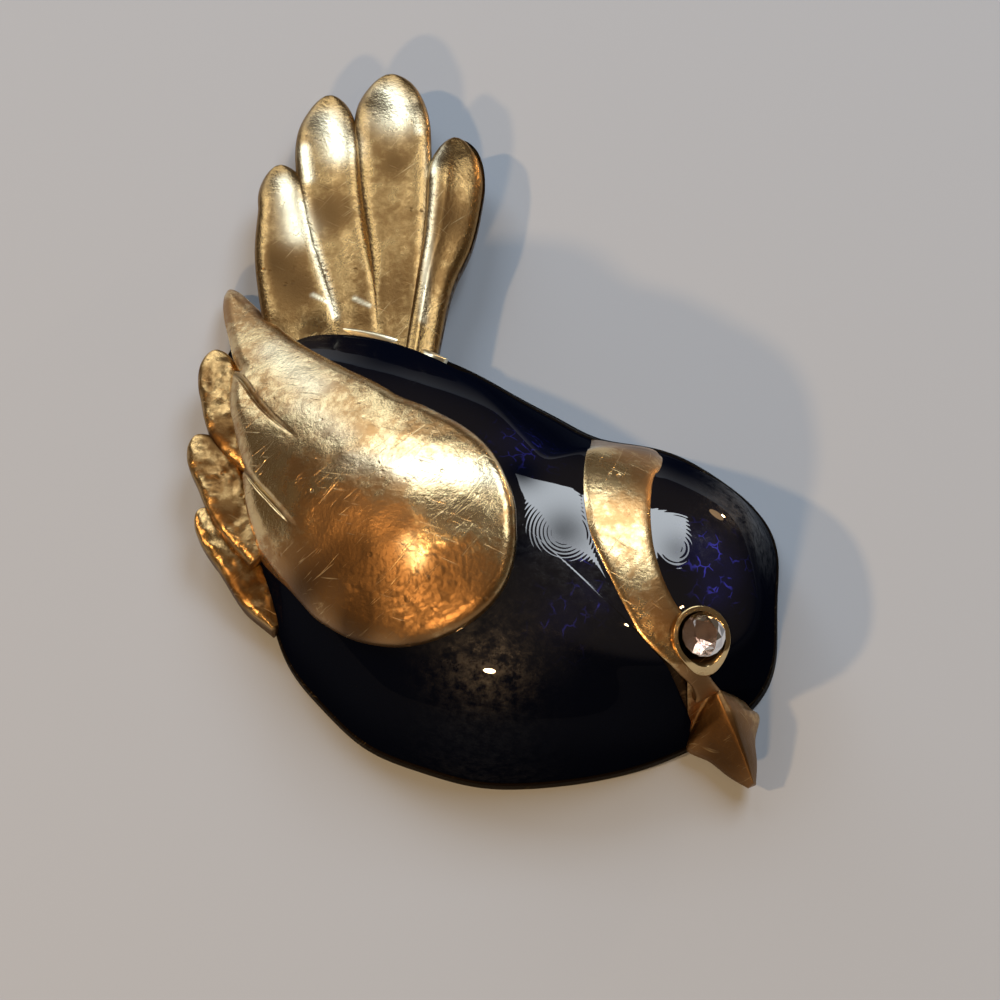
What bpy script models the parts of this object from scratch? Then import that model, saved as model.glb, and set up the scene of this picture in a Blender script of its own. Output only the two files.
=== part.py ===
"""A small cast bird brooch with enamel cells, a set stone and a plain pin, for Blender 4.5.

Metres, +Z up out of the back plane. The plan is worked out from the crown of the dome, with +X towards the
beak and +Y towards the tail. At the end the whole brooch is moved so that the middle of its footprint is the
origin and its base rim lies on Z = 0.
"""
import math

import bmesh
import bpy
import numpy as np
from mathutils import Matrix, Vector

# Body: a hollow dome cast in gold-coloured metal
BODY_REACH = 0.0155
BODY_HEIGHT = 0.0110
HEAD_SWELL = 0.0032
BREAST_SWELL = 0.0003
SIDE_WALL_ANGLE = math.radians(57)
SIDE_WALL_EASE = 0.00035
# Flank powers (see BODY_OUTLINE) from which, and up to which, that straight wall takes over
SIDE_WALL_FROM, SIDE_WALL_FULL = 0.55, 0.67
CHEEK_WALL_MORE = math.radians(20)
ENAMEL_DEPTH = 0.0006
METAL_WALL = 0.0009
RIM_HEIGHT = 0.0008

# Enamel
ENAMEL_SINK = 0.00005
CLEARANCE = 0.00005

# Raised wing
WING_REACH = 0.0070
WING_RAISE = 0.0009
WING_LIFT = 0.0055
WING_THICKNESS = 0.0016
WING_ROOTING = 0.0022
WING_FOOT_MARGIN = 0.0004
GROOVE_DEPTH = 0.0005
GROOVE_WIDTH = 0.0007

# Under-wing feathers and tail
UNDER_THICKNESS = 0.0013
UNDER_CROWN = 0.0004
FEATHER_ACROSS = (-1, -0.72, -0.3, 0.3, 0.72, 1)
FEATHER_ROUNDING = 0.75
TAIL_LENGTH = 0.0186
TAIL_THICKNESS = 0.0014
TAIL_CROWN = 0.0008
TAIL_ROOT_LEVEL = 0.0035
TAIL_TIP_LEVEL = 0.0030

# Beak
BEAK_LENGTH = 0.0034
BEAK_WIDTH = 0.0048
BEAK_HEIGHT = 0.0044

# Eye
STONE_RADIUS = 0.0012
STONE_CROWN = 0.00038
STONE_GIRDLE = 0.00010
STONE_PAVILION = 0.00058
STONE_TABLE_SHARE = 0.56
STONE_STAR_SHARE, STONE_STAR_RISE = 0.78, 0.60
STONE_GAP = 0.00005
CUP_WALL = 0.00038
CUP_PROUD = 0.00022
CUP_DEPTH = 0.0009
CUP_ROOT = 0.0016

# Pin
PIN_RADIUS = 0.00045
PIN_LEVEL = 0.0015
PIN_BLOCK_WIDTH = 0.0024
PIN_BLOCK_HEIGHT = 0.0022
PIN_BLOCK_LENGTH = 0.0030
PIN_SEAT_GAP = 0.0003
PIN_SIDES = 12

# How finely the curved surfaces are divided
DOME_RINGS = 9
DOME_SECTORS = 60
HOLLOW_RINGS = 6
HOLLOW_SECTORS = 36
ROUND_SIDES = 24
FEATHER_STEPS = 3
TIP_STEPS = 5
ABOVE_ALL = 2 * BODY_HEIGHT

# Body outline from the dome's crown, one row every 15 degrees from +X:
# reach as a share of BODY_REACH, and how upright the flank stands (0.5 is a full round side)
BODY_OUTLINE = (
    (1.010, 0.62), (1.022, 0.66), (0.929, 0.70), (0.829, 0.74), (0.729, 0.76), (0.748, 0.76),
    (0.839, 0.74), (1.019, 0.68), (1.290, 0.58), (1.503, 0.52), (1.258, 0.50), (1.039, 0.50),
    (0.929, 0.50), (0.877, 0.50), (0.839, 0.50), (0.813, 0.50), (0.784, 0.50), (0.768, 0.50),
    (0.768, 0.50), (0.781, 0.50), (0.826, 0.50), (0.897, 0.50), (0.994, 0.52), (1.026, 0.57),
)
# The crown of the dome is an oval that the outline above is blended into
CROWN_LONG, CROWN_SHORT = 1.129, 0.800
CROWN_TURN = math.radians(145)
CROWN_FLANK = 0.56
OUTLINE_POWER = 2.6
# The cheek of the head stands more upright: direction, how narrow that stretch is, and how much of the flank
# power it takes away
CHEEK_TURN = math.radians(-17)
CHEEK_POWER = 4
CHEEK_FLANK_LESS = 0.32
# Swellings: x, y and radius as shares of BODY_REACH
HEAD_SWELLING = (0.950, 0.110, 0.410)
BREAST_SWELLING = (-0.258, 0.0, 0.516)

# Lines between gold and enamel, x and y as shares of BODY_REACH
TAIL_LINE = (
    (-0.915, 1.031), (-0.806, 1.006), (-0.645, 0.971), (-0.490, 0.942), (-0.284, 0.897), (-0.200, 0.820),
    (-0.150, 0.900),
)
# Hidden edge of the body's cell, from under the breast round to the wing's root
HIDDEN_EDGE = ((0.600, -1.200), (-1.100, -1.200), (-1.100, -0.260), (-0.860, -0.180), (-0.900, -0.090))
BAND_BACK_EDGE = (
    (0.340, 0.800), (0.315, 0.550), (0.287, 0.370), (0.267, 0.236), (0.259, 0.106), (0.270, -0.021),
    (0.296, -0.108), (0.325, -0.173), (0.365, -0.256), (0.398, -0.317), (0.443, -0.391), (0.502, -0.447),
    (0.571, -0.492), (0.650, -0.523), (0.650, -0.575), (0.620, -0.800),
)
BAND_FRONT_EDGE = (
    (0.580, 0.700), (0.553, 0.314), (0.512, 0.203), (0.496, 0.110), (0.490, 0.020), (0.493, -0.060),
    (0.502, -0.119), (0.521, -0.187), (0.548, -0.250), (0.580, -0.300), (0.630, -0.350), (0.680, -0.400),
    (0.690, -0.467), (0.709, -0.485), (0.772, -0.495), (0.848, -0.482), (0.913, -0.470), (1.060, -0.500),
)
BEYOND_HEAD = 1.5
EYE_PLACE = (0.666, -0.377)
EYE_LEAN = 0.6

# Wing outline from its own middle: angle in degrees and reach as a share of WING_REACH
WING_MIDDLE = (-0.426, -0.023)
WING_OUTLINE = (
    (3.8, 0.995), (22.1, 0.982), (44.4, 1.003), (62.2, 1.032), (75, 1.095), (86.3, 1.187), (95, 1.370),
    (102.7, 1.590), (108, 1.840), (112.1, 2.134), (115.0, 2.560), (116.2, 2.880), (117.1, 3.120),
    (118.0, 3.200), (119.0, 3.170), (120.1, 3.080), (121.8, 2.870), (123.5, 2.616), (125.7, 2.350),
    (126.6, 2.180), (127.8, 2.235), (130.4, 2.123), (134.3, 1.943), (137.9, 1.759), (141.6, 1.606),
    (146.0, 1.447), (148.9, 1.410), (154.2, 1.318), (161.5, 1.210), (168.5, 1.117), (173.1, 1.069),
    (181.3, 0.957), (193.4, 0.841), (206.9, 0.782), (222, 0.765), (237.8, 0.760), (261.1, 0.801),
    (282.5, 0.878), (296.7, 0.933), (310.7, 0.993), (323.7, 1.035), (335.2, 1.043), (350.1, 1.015),
)
# Hidden edge of the body's cell where it runs on beneath the wing: angle and share of WING_REACH, as above
HIDDEN_BENEATH_WING = ((190, 0.70), (165, 0.90), (140, 1.35), (118, 1.95))
WING_RINGS = (0.22, 0.45, 0.65, 0.80, 0.90, 0.96, 1.0)
WING_EDGE_SHARE = 0.30
WING_EDGE_POWER = 6
# The wing stands off the dome towards its tips: direction, and how narrow that stretch is
WING_LIFT_TURN = math.radians(145)
WING_LIFT_POWER = 8
# Grooves between the wing's feathers, x and y as shares of BODY_REACH
WING_GROOVES = (
    ((-1.065, 0.800), (-0.993, 0.703), (-0.930, 0.592), (-0.858, 0.490), (-0.745, 0.357)),
    ((-1.010, 0.390), (-0.961, 0.315), (-0.912, 0.241), (-0.843, 0.152), (-0.781, 0.072), (-0.743, 0.028)),
)

# Under-wing feathers: x, y, level of the top edge and half width at four places from root to tip, as shares
# of BODY_REACH
UNDER_FEATHERS = {
    "a": ((-0.900, 0.400, 0.240, 0.075), (-1.030, 0.560, 0.235, 0.090), (-1.085, 0.720, 0.225, 0.085),
          (-1.128, 0.900, 0.215, 0.010)),
    "b": ((-0.880, 0.060, 0.230, 0.080), (-1.010, 0.230, 0.225, 0.090), (-1.095, 0.400, 0.215, 0.085),
          (-1.176, 0.542, 0.205, 0.010)),
    "c": ((-0.850, -0.190, 0.112, 0.020), (-0.915, -0.070, 0.135, 0.075), (-1.020, 0.100, 0.170, 0.085),
          (-1.148, 0.238, 0.200, 0.010)),
}

# Tail feathers from the middle of the tail line: across, along and half width as shares of TAIL_LENGTH
TAIL_MIDDLE = (-0.581, 0.942)
TAIL_FEATHERS = {
    "a": ((-0.150, -0.020, 0.120), (-0.184, 0.090, 0.118), (-0.236, 0.312, 0.102), (-0.256, 0.505, 0.078),
          (-0.284, 0.652, 0.006)),
    "b": ((0.000, -0.080, 0.080), (-0.020, 0.160, 0.082), (-0.084, 0.420, 0.098), (-0.118, 0.690, 0.106),
          (-0.122, 0.934, 0.006)),
    "c": ((0.125, -0.110, 0.060), (0.122, 0.290, 0.088), (0.110, 0.560, 0.116), (0.096, 0.790, 0.126),
          (0.078, 1.022, 0.006)),
    "d": ((0.196, -0.130, 0.044), (0.244, 0.200, 0.054), (0.290, 0.390, 0.077), (0.312, 0.590, 0.092),
          (0.310, 0.760, 0.006)),
}

# Beak sections from inside the head to the tip: along as a share of BEAK_LENGTH, half width as a share of
# BEAK_WIDTH, ridge and underside as shares of BEAK_HEIGHT
BEAK_FOOT = (0.774, -0.581)
BEAK_TURN = math.radians(-66)
BEAK_SECTIONS = (
    (-0.700, 0.33, 1.05, 0.12), (-0.220, 0.40, 1.00, 0.12), (0.000, 0.46, 0.97, 0.12),
    (0.320, 0.29, 0.84, 0.16), (0.680, 0.18, 0.66, 0.22), (1.000, 0.05, 0.46, 0.30),
)

# Beak profile: across as a share of the half width, up as a share of the height there
BEAK_PROFILE = (
    (-1.0, 0.0), (-1.0, 0.25), (-0.62, 0.62), (-0.08, 1.0), (0.10, 1.0), (0.62, 0.62), (1.0, 0.25), (1.0, 0.0),
)

# Pin: where its blocks stand, x and y as shares of BODY_REACH
PIN_HINGE_END = (-0.900, 0.620)
PIN_CATCH_END = (0.740, 0.060)

# Finish: name, colour, roughness, metallic, and the edge angle in degrees from which an edge stays sharp
GOLD = ("gold_plate", (0.62, 0.47, 0.27), 0.30, 1.0, 40)
ENAMEL = ("blue_enamel", (0.006, 0.009, 0.035), 0.06, 0.0, 50)
STONE = ("clear_stone", (0.90, 0.88, 0.86), 0.02, 0.0, 5)
STEEL = ("pin_metal", (0.50, 0.46, 0.40), 0.35, 1.0, 40)


def material(name, colour, roughness, metallic):
    """A plain Principled material."""
    result = bpy.data.materials.new(name)
    result.use_nodes = True
    shader = result.node_tree.nodes["Principled BSDF"]
    shader.inputs["Base Color"].default_value = (*colour, 1)
    shader.inputs["Roughness"].default_value = roughness
    shader.inputs["Metallic"].default_value = metallic
    return result


def solid(name, points, faces):
    """An object from points and faces, with its faces turned outwards."""
    mesh = bpy.data.meshes.new(name)
    mesh.from_pydata([tuple(point) for point in points], [], faces)
    shape = bmesh.new()
    shape.from_mesh(mesh)
    bmesh.ops.recalc_face_normals(shape, faces=shape.faces)
    if shape.calc_volume(signed=True) < 0:
        bmesh.ops.reverse_faces(shape, faces=shape.faces)
    shape.to_mesh(mesh)
    shape.free()
    result = bpy.data.objects.new(name, mesh)
    bpy.context.scene.collection.objects.link(result)
    return result


def guide(shape):
    """Marks a shape as a cutter or filler that isn't a part itself."""
    shape.hide_render = True
    shape.display_type = "WIRE"
    return shape


def combine(target, operation, shape, solver="EXACT"):
    """Adds a Boolean with a guide shape to the target."""
    boolean = target.modifiers.new(shape.name, "BOOLEAN")
    boolean.operation = operation
    boolean.solver = solver
    boolean.object = guide(shape)


def waves(values):
    """A smooth closed curve of angle through evenly spaced values, as a sum of sines and cosines."""
    terms = np.fft.rfft(values) / len(values)
    last = len(values) // 2

    def curve(angle):
        total = np.full(np.shape(angle), terms[0].real)
        for order in range(1, last + 1):
            weight = 1 if order == last else 2
            term = terms[order] * np.exp(1j * order * np.asarray(angle))
            total = total + weight * term.real
        return total

    return curve


def curve_at(points, where):
    """Points on the smooth curve through the given rows, at fractional row numbers."""
    rows = np.asarray(points, float)
    rows = np.vstack((2 * rows[0] - rows[1], rows, 2 * rows[-1] - rows[-2]))
    place = np.clip(np.floor(where), 0, len(rows) - 4).astype(int)
    t = (np.asarray(where) - place)[:, None]
    before, start, end, after = (rows[place + k] for k in range(4))
    return 0.5 * (2 * start + (end - before) * t + (2 * before - 5 * start + 4 * end - after) * t**2
                  + (3 * start - before - 3 * end + after) * t**3)


def through(points, steps):
    """Points on the smooth curve through the given rows, each stretch divided into equal steps."""
    return curve_at(points, np.arange((len(points) - 1) * steps + 1) / steps)


body_reach = waves([BODY_REACH * row[0] for row in BODY_OUTLINE])
body_flank = waves([row[1] for row in BODY_OUTLINE])


def height(x, y, lift=0.0):
    """Height of the dome over a plan point; lift widens it towards the wing tips."""
    radius = np.hypot(x, y)
    angle = np.arctan2(y, x)
    spread = lift * np.clip(np.cos(angle - WING_LIFT_TURN), 0, 1) ** WING_LIFT_POWER
    reach = body_reach(angle) + spread
    turned_angle = angle - CROWN_TURN
    crown = BODY_REACH / np.hypot(np.cos(turned_angle) / CROWN_LONG, np.sin(turned_angle) / CROWN_SHORT)
    blend = np.clip(radius / reach, 0, 1) ** OUTLINE_POWER
    share = radius / (crown + (reach - crown) * blend)
    top = BODY_HEIGHT
    for (swell_x, swell_y, swell_radius), swell in (
        (HEAD_SWELLING, HEAD_SWELL), (BREAST_SWELLING, BREAST_SWELL),
    ):
        apart = np.hypot(x - swell_x * BODY_REACH, y - swell_y * BODY_REACH) / (swell_radius * BODY_REACH)
        top = top + swell * np.exp(-apart**2)
    flank = body_flank(angle)
    cheek = np.clip(np.cos(angle - CHEEK_TURN), 0, 1) ** CHEEK_POWER
    power = CROWN_FLANK + (flank - CHEEK_FLANK_LESS * cheek - CROWN_FLANK) * blend
    dome = top * np.clip(1 - share**2, 0, None) ** power
    wall = np.tan(SIDE_WALL_ANGLE + CHEEK_WALL_MORE * cheek) * (reach - radius)
    eased = -SIDE_WALL_EASE * np.logaddexp(-dome / SIDE_WALL_EASE, -wall / SIDE_WALL_EASE)
    walled = np.clip((flank - SIDE_WALL_FROM) / (SIDE_WALL_FULL - SIDE_WALL_FROM), 0, 1)
    walled = np.maximum(walled, cheek)
    return np.clip(dome + (np.minimum(eased, dome) - dome) * walled, 0, None)


def dome(name, inset, rings, sectors, below=0.0):
    """A closed solid under the dome, its surface moved in by inset along the normal."""
    share = np.sin(np.arange(1, rings + 1) / rings * math.pi / 2)[:, None]
    angle = (np.arange(sectors) / sectors * math.tau)[None, :]
    x = share * body_reach(angle) * np.cos(angle)
    y = share * body_reach(angle) * np.sin(angle)
    z = height(x, y)
    z[-1] = 0
    surface = np.stack((x, y, z), axis=2)
    along = np.gradient(surface, axis=0)
    around = (np.roll(surface, -1, axis=1) - np.roll(surface, 1, axis=1)) / 2
    normal = np.cross(along, around)
    normal /= np.linalg.norm(normal, axis=2)[:, :, None]
    surface = surface - inset * normal
    top = np.array([[0, 0, height(0.0, 0.0) - inset]])
    layers = [surface.reshape(-1, 3)]
    if below:
        skirt = surface[-1].copy()
        skirt[:, 2] = -below
        layers.append(skirt)
    points = np.vstack([top] + layers)
    rows = len(points) // sectors
    faces = [(0, 1 + k, 1 + (k + 1) % sectors) for k in range(sectors)]
    for row in range(rows - 1):
        start = 1 + row * sectors
        for k in range(sectors):
            after = (k + 1) % sectors
            # Two triangles with the same diagonal in every dome, so that one skin keeps its distance to another
            faces.append((start + k, start + sectors + k, start + sectors + after))
            faces.append((start + k, start + sectors + after, start + after))
    faces.append(tuple(1 + (rows - 1) * sectors + k for k in range(sectors)))
    return solid(name, points, faces)


def prism(name, outline, low, high):
    """An upright solid over a plan outline."""
    count = len(outline)
    points = [(x, y, low) for x, y in outline] + [(x, y, high) for x, y in outline]
    faces = [tuple(range(count)), tuple(range(count, 2 * count))]
    faces += [(k, (k + 1) % count, count + (k + 1) % count, count + k) for k in range(count)]
    return solid(name, points, faces)


def loft(name, sections):
    """A solid through closed sections of equal count, capped at both ends."""
    count = len(sections[0])
    points = np.vstack(sections)
    faces = [tuple(range(count)), tuple(range(len(points) - count, len(points)))]
    for row in range(len(sections) - 1):
        for k in range(count):
            after = (k + 1) % count
            start = row * count
            faces.append((start + k, start + after, start + count + after, start + count + k))
    return solid(name, points, faces)


def turned(name, profile, place, sides=ROUND_SIDES):
    """A solid turned from a profile of radius and height rows, bottom to top, set in place."""
    angles = np.arange(sides) / sides * math.tau
    rings = [[place @ Vector((r * math.cos(a), r * math.sin(a), z)) for a in angles] for r, z in profile]
    return loft(name, [np.array(ring) for ring in rings])


def grown(outline, distance):
    """A closed outline moved outwards, or inwards where the distance is negative."""
    rows = np.asarray(outline, float)
    after, before = np.roll(rows, -1, axis=0), np.roll(rows, 1, axis=0)
    area = np.sum(rows[:, 0] * after[:, 1] - after[:, 0] * rows[:, 1])
    ahead = (after - rows) / np.linalg.norm(after - rows, axis=1)[:, None]
    behind = (rows - before) / np.linalg.norm(rows - before, axis=1)[:, None]
    along = (ahead + behind) / 2
    along /= np.sum(along**2, axis=1)[:, None]
    outward = np.stack((along[:, 1], -along[:, 0]), axis=1) * math.copysign(1, area)
    return rows + distance * outward


def from_wing_middle(table):
    """Plan points of a table of angles in degrees and shares of the wing's reach, from the wing's middle."""
    rows = np.asarray(table, float)
    angle = np.radians(rows[:, 0])
    middle = BODY_REACH * np.array(WING_MIDDLE)
    return middle + WING_REACH * rows[:, 1:] * np.stack((np.cos(angle), np.sin(angle)), axis=1)


def body_region():
    """Plan outline of the body's cell: from the tail line along the back to the band, round the breast."""
    tail_line = through(TAIL_LINE, 2)
    band = through(BAND_BACK_EDGE, 2)
    far_corner = ((band[0][0], tail_line[-1][1]),)
    open_edge = BODY_REACH * np.vstack((tail_line, far_corner, band, HIDDEN_EDGE))
    return np.vstack((open_edge, from_wing_middle(HIDDEN_BENEATH_WING)))


def crown_region():
    """Plan outline of the head's cell, in front of the band and above the beak."""
    band = through(BAND_FRONT_EDGE, 2)
    around = ((BEYOND_HEAD, band[-1][1]), (BEYOND_HEAD, band[0][1]))
    return BODY_REACH * np.vstack((band, around))


def wing_outline():
    """Plan outline of the raised wing."""
    table = np.array(WING_OUTLINE, float)
    whole_turn = np.array((360, 0))
    return from_wing_middle(through(np.vstack((table[-1] - whole_turn, table, table[:2] + whole_turn)), 2)[2:-3])


def wing():
    """The raised wing: a rounded edge over the widened dome, rooted in the metal below."""
    outline = wing_outline()
    middle = BODY_REACH * np.array(WING_MIDDLE)
    shares = np.array(WING_RINGS)[:, None, None]
    plan = middle + shares * (outline - middle)[None]
    x, y = plan[:, :, 0], plan[:, :, 1]
    edge = WING_EDGE_SHARE + (1 - WING_EDGE_SHARE) * np.sqrt(1 - shares[:, :, 0] ** WING_EDGE_POWER)
    top = height(x, y, WING_LIFT) + WING_RAISE * edge
    over_body = np.hypot(x, y) < body_reach(np.arctan2(y, x)) + WING_FOOT_MARGIN
    rooted = np.minimum(height(x, y) - WING_ROOTING, top - WING_THICKNESS)
    bottom = np.clip(np.where(over_body, rooted, top - WING_THICKNESS), RIM_HEIGHT / 2, None)
    count = len(outline)
    middle_top = height(*middle, WING_LIFT) + WING_RAISE
    points = [(*middle, middle_top), (*middle, middle_top - WING_ROOTING)]
    points += [tuple(p) for p in np.stack((x, y, top), axis=2).reshape(-1, 3)]
    points += [tuple(p) for p in np.stack((x, y, bottom), axis=2).reshape(-1, 3)]
    rings = len(WING_RINGS)
    first_top, first_bottom = 2, 2 + rings * count
    faces = []
    for pole, first in ((0, first_top), (1, first_bottom)):
        faces += [(pole, first + k, first + (k + 1) % count) for k in range(count)]
        for ring in range(rings - 1):
            start = first + ring * count
            faces += [(start + k, start + count + k, start + count + (k + 1) % count, start + (k + 1) % count)
                      for k in range(count)]
    last_top, last_bottom = first_top + (rings - 1) * count, first_bottom + (rings - 1) * count
    faces += [(last_top + k, last_bottom + k, last_bottom + (k + 1) % count, last_top + (k + 1) % count)
              for k in range(count)]
    return solid("raised_wing", points, faces)


def feather(name, rows, crown, thickness, extra=0.0):
    """A crowned feather through rows of x, y, level and half width, with a rounded end."""
    table = np.array(rows, float)
    last = len(table) - 2
    towards_tip = 1 - (1 - np.arange(1, TIP_STEPS + 1) / TIP_STEPS) ** 2
    where = np.concatenate((np.arange(last * FEATHER_STEPS + 1) / FEATHER_STEPS, last + towards_tip))
    smooth = curve_at(table[:, :3], where)
    half = np.sqrt(np.interp(where, np.arange(len(table)), table[:, 3] ** 2))
    along = np.gradient(smooth[:, :2], axis=0)
    along /= np.linalg.norm(along, axis=1)[:, None]
    across = np.stack((-along[:, 1], along[:, 0]), axis=1)
    smooth[0, :2] -= extra * along[0]
    smooth[-1, :2] += extra * along[-1]
    sections = []
    for (x, y, level), side, width in zip(smooth, across, half):
        section = []
        for t in FEATHER_ACROSS:
            rise = crown * (1 - t**2) ** FEATHER_ROUNDING * width / half.max()
            section.append((x + side[0] * t * (width + extra), y + side[1] * t * (width + extra),
                            level + rise + extra))
        for t in (1, -1):
            section.append((x + side[0] * t * (width + extra), y + side[1] * t * (width + extra),
                            level - thickness - extra))
        sections.append(np.array(section))
    return loft(name, sections)


def under_feather(label):
    """One under-wing feather."""
    rows = BODY_REACH * np.array(UNDER_FEATHERS[label])
    return feather(f"under_feather_{label}", rows, UNDER_CROWN, UNDER_THICKNESS)


def under_feather_room(label):
    """The room that an under-wing feather takes out of the enamel, down past the base rim."""
    rows = BODY_REACH * np.array(UNDER_FEATHERS[label])
    return feather(f"under_feather_{label}_room", rows, UNDER_CROWN, BODY_HEIGHT, CLEARANCE)


def tail_feather(label):
    """One tail feather, falling slightly from the tail line to its tip."""
    rows = np.array(TAIL_FEATHERS[label])
    middle = BODY_REACH * np.array(TAIL_MIDDLE)
    level = TAIL_ROOT_LEVEL + (TAIL_TIP_LEVEL - TAIL_ROOT_LEVEL) * rows[:, 1]
    table = np.column_stack((middle[0] + TAIL_LENGTH * rows[:, 0], middle[1] + TAIL_LENGTH * rows[:, 1],
                             level, TAIL_LENGTH * rows[:, 2]))
    return feather(f"tail_feather_{label}", table, TAIL_CROWN, TAIL_THICKNESS)


def groove(name, line):
    """A three-sided cutter along a line on the wing."""
    plan = BODY_REACH * np.array(line)
    along = np.gradient(plan, axis=0)
    along /= np.linalg.norm(along, axis=1)[:, None]
    side = GROOVE_WIDTH * np.stack((-along[:, 1], along[:, 0]), axis=1)
    fade = np.linspace(1, 0, len(plan))
    sections = []
    for (x, y), (dx, dy), depth in zip(plan, side, fade):
        skin = height(x, y, WING_LIFT) + WING_RAISE
        sections.append(np.array([(x - dx, y - dy, skin + GROOVE_DEPTH), (x + dx, y + dy, skin + GROOVE_DEPTH),
                                  (x, y, skin - GROOVE_DEPTH * depth)]))
    return loft(name, sections)


def beak():
    """The pointed beak: a ridge with two sloping faces, from inside the head to a narrow tip."""
    foot = BODY_REACH * np.array(BEAK_FOOT)
    along = np.array((math.cos(BEAK_TURN), math.sin(BEAK_TURN)))
    across = np.array((-along[1], along[0]))
    sections = []
    for place, width, ridge, under in BEAK_SECTIONS:
        middle = foot + BEAK_LENGTH * place * along
        half = BEAK_WIDTH * width
        top, low = BEAK_HEIGHT * ridge, BEAK_HEIGHT * under
        sections.append(np.array([(*(middle + half * t * across), low + (top - low) * up)
                                  for t, up in BEAK_PROFILE]))
    return loft("beak", sections)


def eye_frame():
    """Where the eye sits: a point of the dome, and an axis that leans only a share of the slope there."""
    x, y = (BODY_REACH * share for share in EYE_PLACE)
    step = STONE_RADIUS / 4
    slope_x = (height(x + step, y) - height(x - step, y)) / (2 * step)
    slope_y = (height(x, y + step) - height(x, y - step)) / (2 * step)
    normal = Vector((-slope_x * EYE_LEAN, -slope_y * EYE_LEAN, 1)).normalized()
    turn = Vector((0, 0, 1)).rotation_difference(normal).to_matrix().to_4x4()
    return Matrix.Translation((x, y, height(x, y))) @ turn


def eye_stone(place):
    """A round stone with a flat table, eight crown mains and a sixteen-sided point below."""
    table, star = [], []
    table_radius, star_radius = STONE_TABLE_SHARE * STONE_RADIUS, STONE_STAR_SHARE * STONE_RADIUS
    for k in range(8):
        angle = k / 8 * math.tau
        table.append((table_radius * math.cos(angle), table_radius * math.sin(angle), STONE_CROWN))
        angle += math.tau / 16
        star.append((star_radius * math.cos(angle), star_radius * math.sin(angle), STONE_STAR_RISE * STONE_CROWN))
    girdle = [(STONE_RADIUS * math.cos(k / 16 * math.tau), STONE_RADIUS * math.sin(k / 16 * math.tau))
              for k in range(16)]
    points = table + star + [(x, y, 0) for x, y in girdle] + [(x, y, -STONE_GIRDLE) for x, y in girdle]
    points.append((0, 0, -STONE_GIRDLE - STONE_PAVILION))
    faces = [tuple(range(8))]
    for k in range(8):
        before, after = (k - 1) % 8, (k + 1) % 8
        upper, middle, next_upper = 16 + 2 * k, 16 + 2 * k + 1, 16 + (2 * k + 2) % 16
        faces += [(k, 8 + k, after), (k, 8 + before, upper, 8 + k)]
        faces += [(8 + k, upper, middle), (8 + k, middle, next_upper)]
    for k in range(16):
        after = (k + 1) % 16
        faces += [(16 + k, 32 + k, 32 + after, 16 + after), (32 + k, 48, 32 + after)]
    return solid("eye_stone", [place @ Vector(point) for point in points], faces)


def enamel(name, region):
    """Enamel that fills a cell: the dome's own skin, sunk a little, down to the cell's floor."""
    result = dome(name, ENAMEL_SINK, DOME_RINGS, DOME_SECTORS)
    cell = prism(f"{name}_region", grown(region, -CLEARANCE), RIM_HEIGHT + CLEARANCE, ABOVE_ALL)
    combine(result, "INTERSECT", cell)
    floor = dome(f"{name}_floor", ENAMEL_DEPTH - CLEARANCE, DOME_RINGS, DOME_SECTORS, BODY_HEIGHT)
    combine(result, "DIFFERENCE", floor)
    return result


def cell_cutter(name, region):
    """Everything over the floor of an enamel cell."""
    result = prism(name, region, RIM_HEIGHT, ABOVE_ALL)
    floor = dome(f"{name}_floor", ENAMEL_DEPTH, DOME_RINGS, DOME_SECTORS, BODY_HEIGHT)
    combine(result, "DIFFERENCE", floor)
    return result


def casting(place):
    """The whole casting, in the order in which its forms cover each other."""
    result = dome("bird_casting", 0.0, DOME_RINGS, DOME_SECTORS)
    for label in TAIL_FEATHERS:
        combine(result, "UNION", tail_feather(label))
    combine(result, "UNION", beak())
    combine(result, "DIFFERENCE", cell_cutter("body_cell", body_region()))
    combine(result, "DIFFERENCE", cell_cutter("crown_cell", crown_region()))
    # The exact solver fails where the wing's root meets the cell's wall
    for shape in [wing()] + [under_feather(label) for label in UNDER_FEATHERS]:
        combine(result, "UNION", shape, "MANIFOLD")
    for number, line in enumerate(WING_GROOVES, 1):
        combine(result, "DIFFERENCE", groove(f"wing_groove_{number}", line), "MANIFOLD")
    cup_radius = STONE_RADIUS + STONE_GAP + CUP_WALL
    rim = CUP_WALL / 2
    cup_profile = ((cup_radius, -CUP_ROOT), (cup_radius, CUP_PROUD - rim), (cup_radius - rim / 2, CUP_PROUD))
    combine(result, "UNION", turned("eye_cup", cup_profile, place), "MANIFOLD")
    hollow = dome("hollow_back", ENAMEL_DEPTH + METAL_WALL, HOLLOW_RINGS, HOLLOW_SECTORS, BODY_HEIGHT)
    combine(result, "DIFFERENCE", hollow, "MANIFOLD")
    bore = STONE_RADIUS + STONE_GAP
    bore_profile = ((bore, -CUP_DEPTH), (bore, 2 * CUP_ROOT))
    combine(result, "DIFFERENCE", turned("eye_bore", bore_profile, place), "MANIFOLD")
    return result


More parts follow.
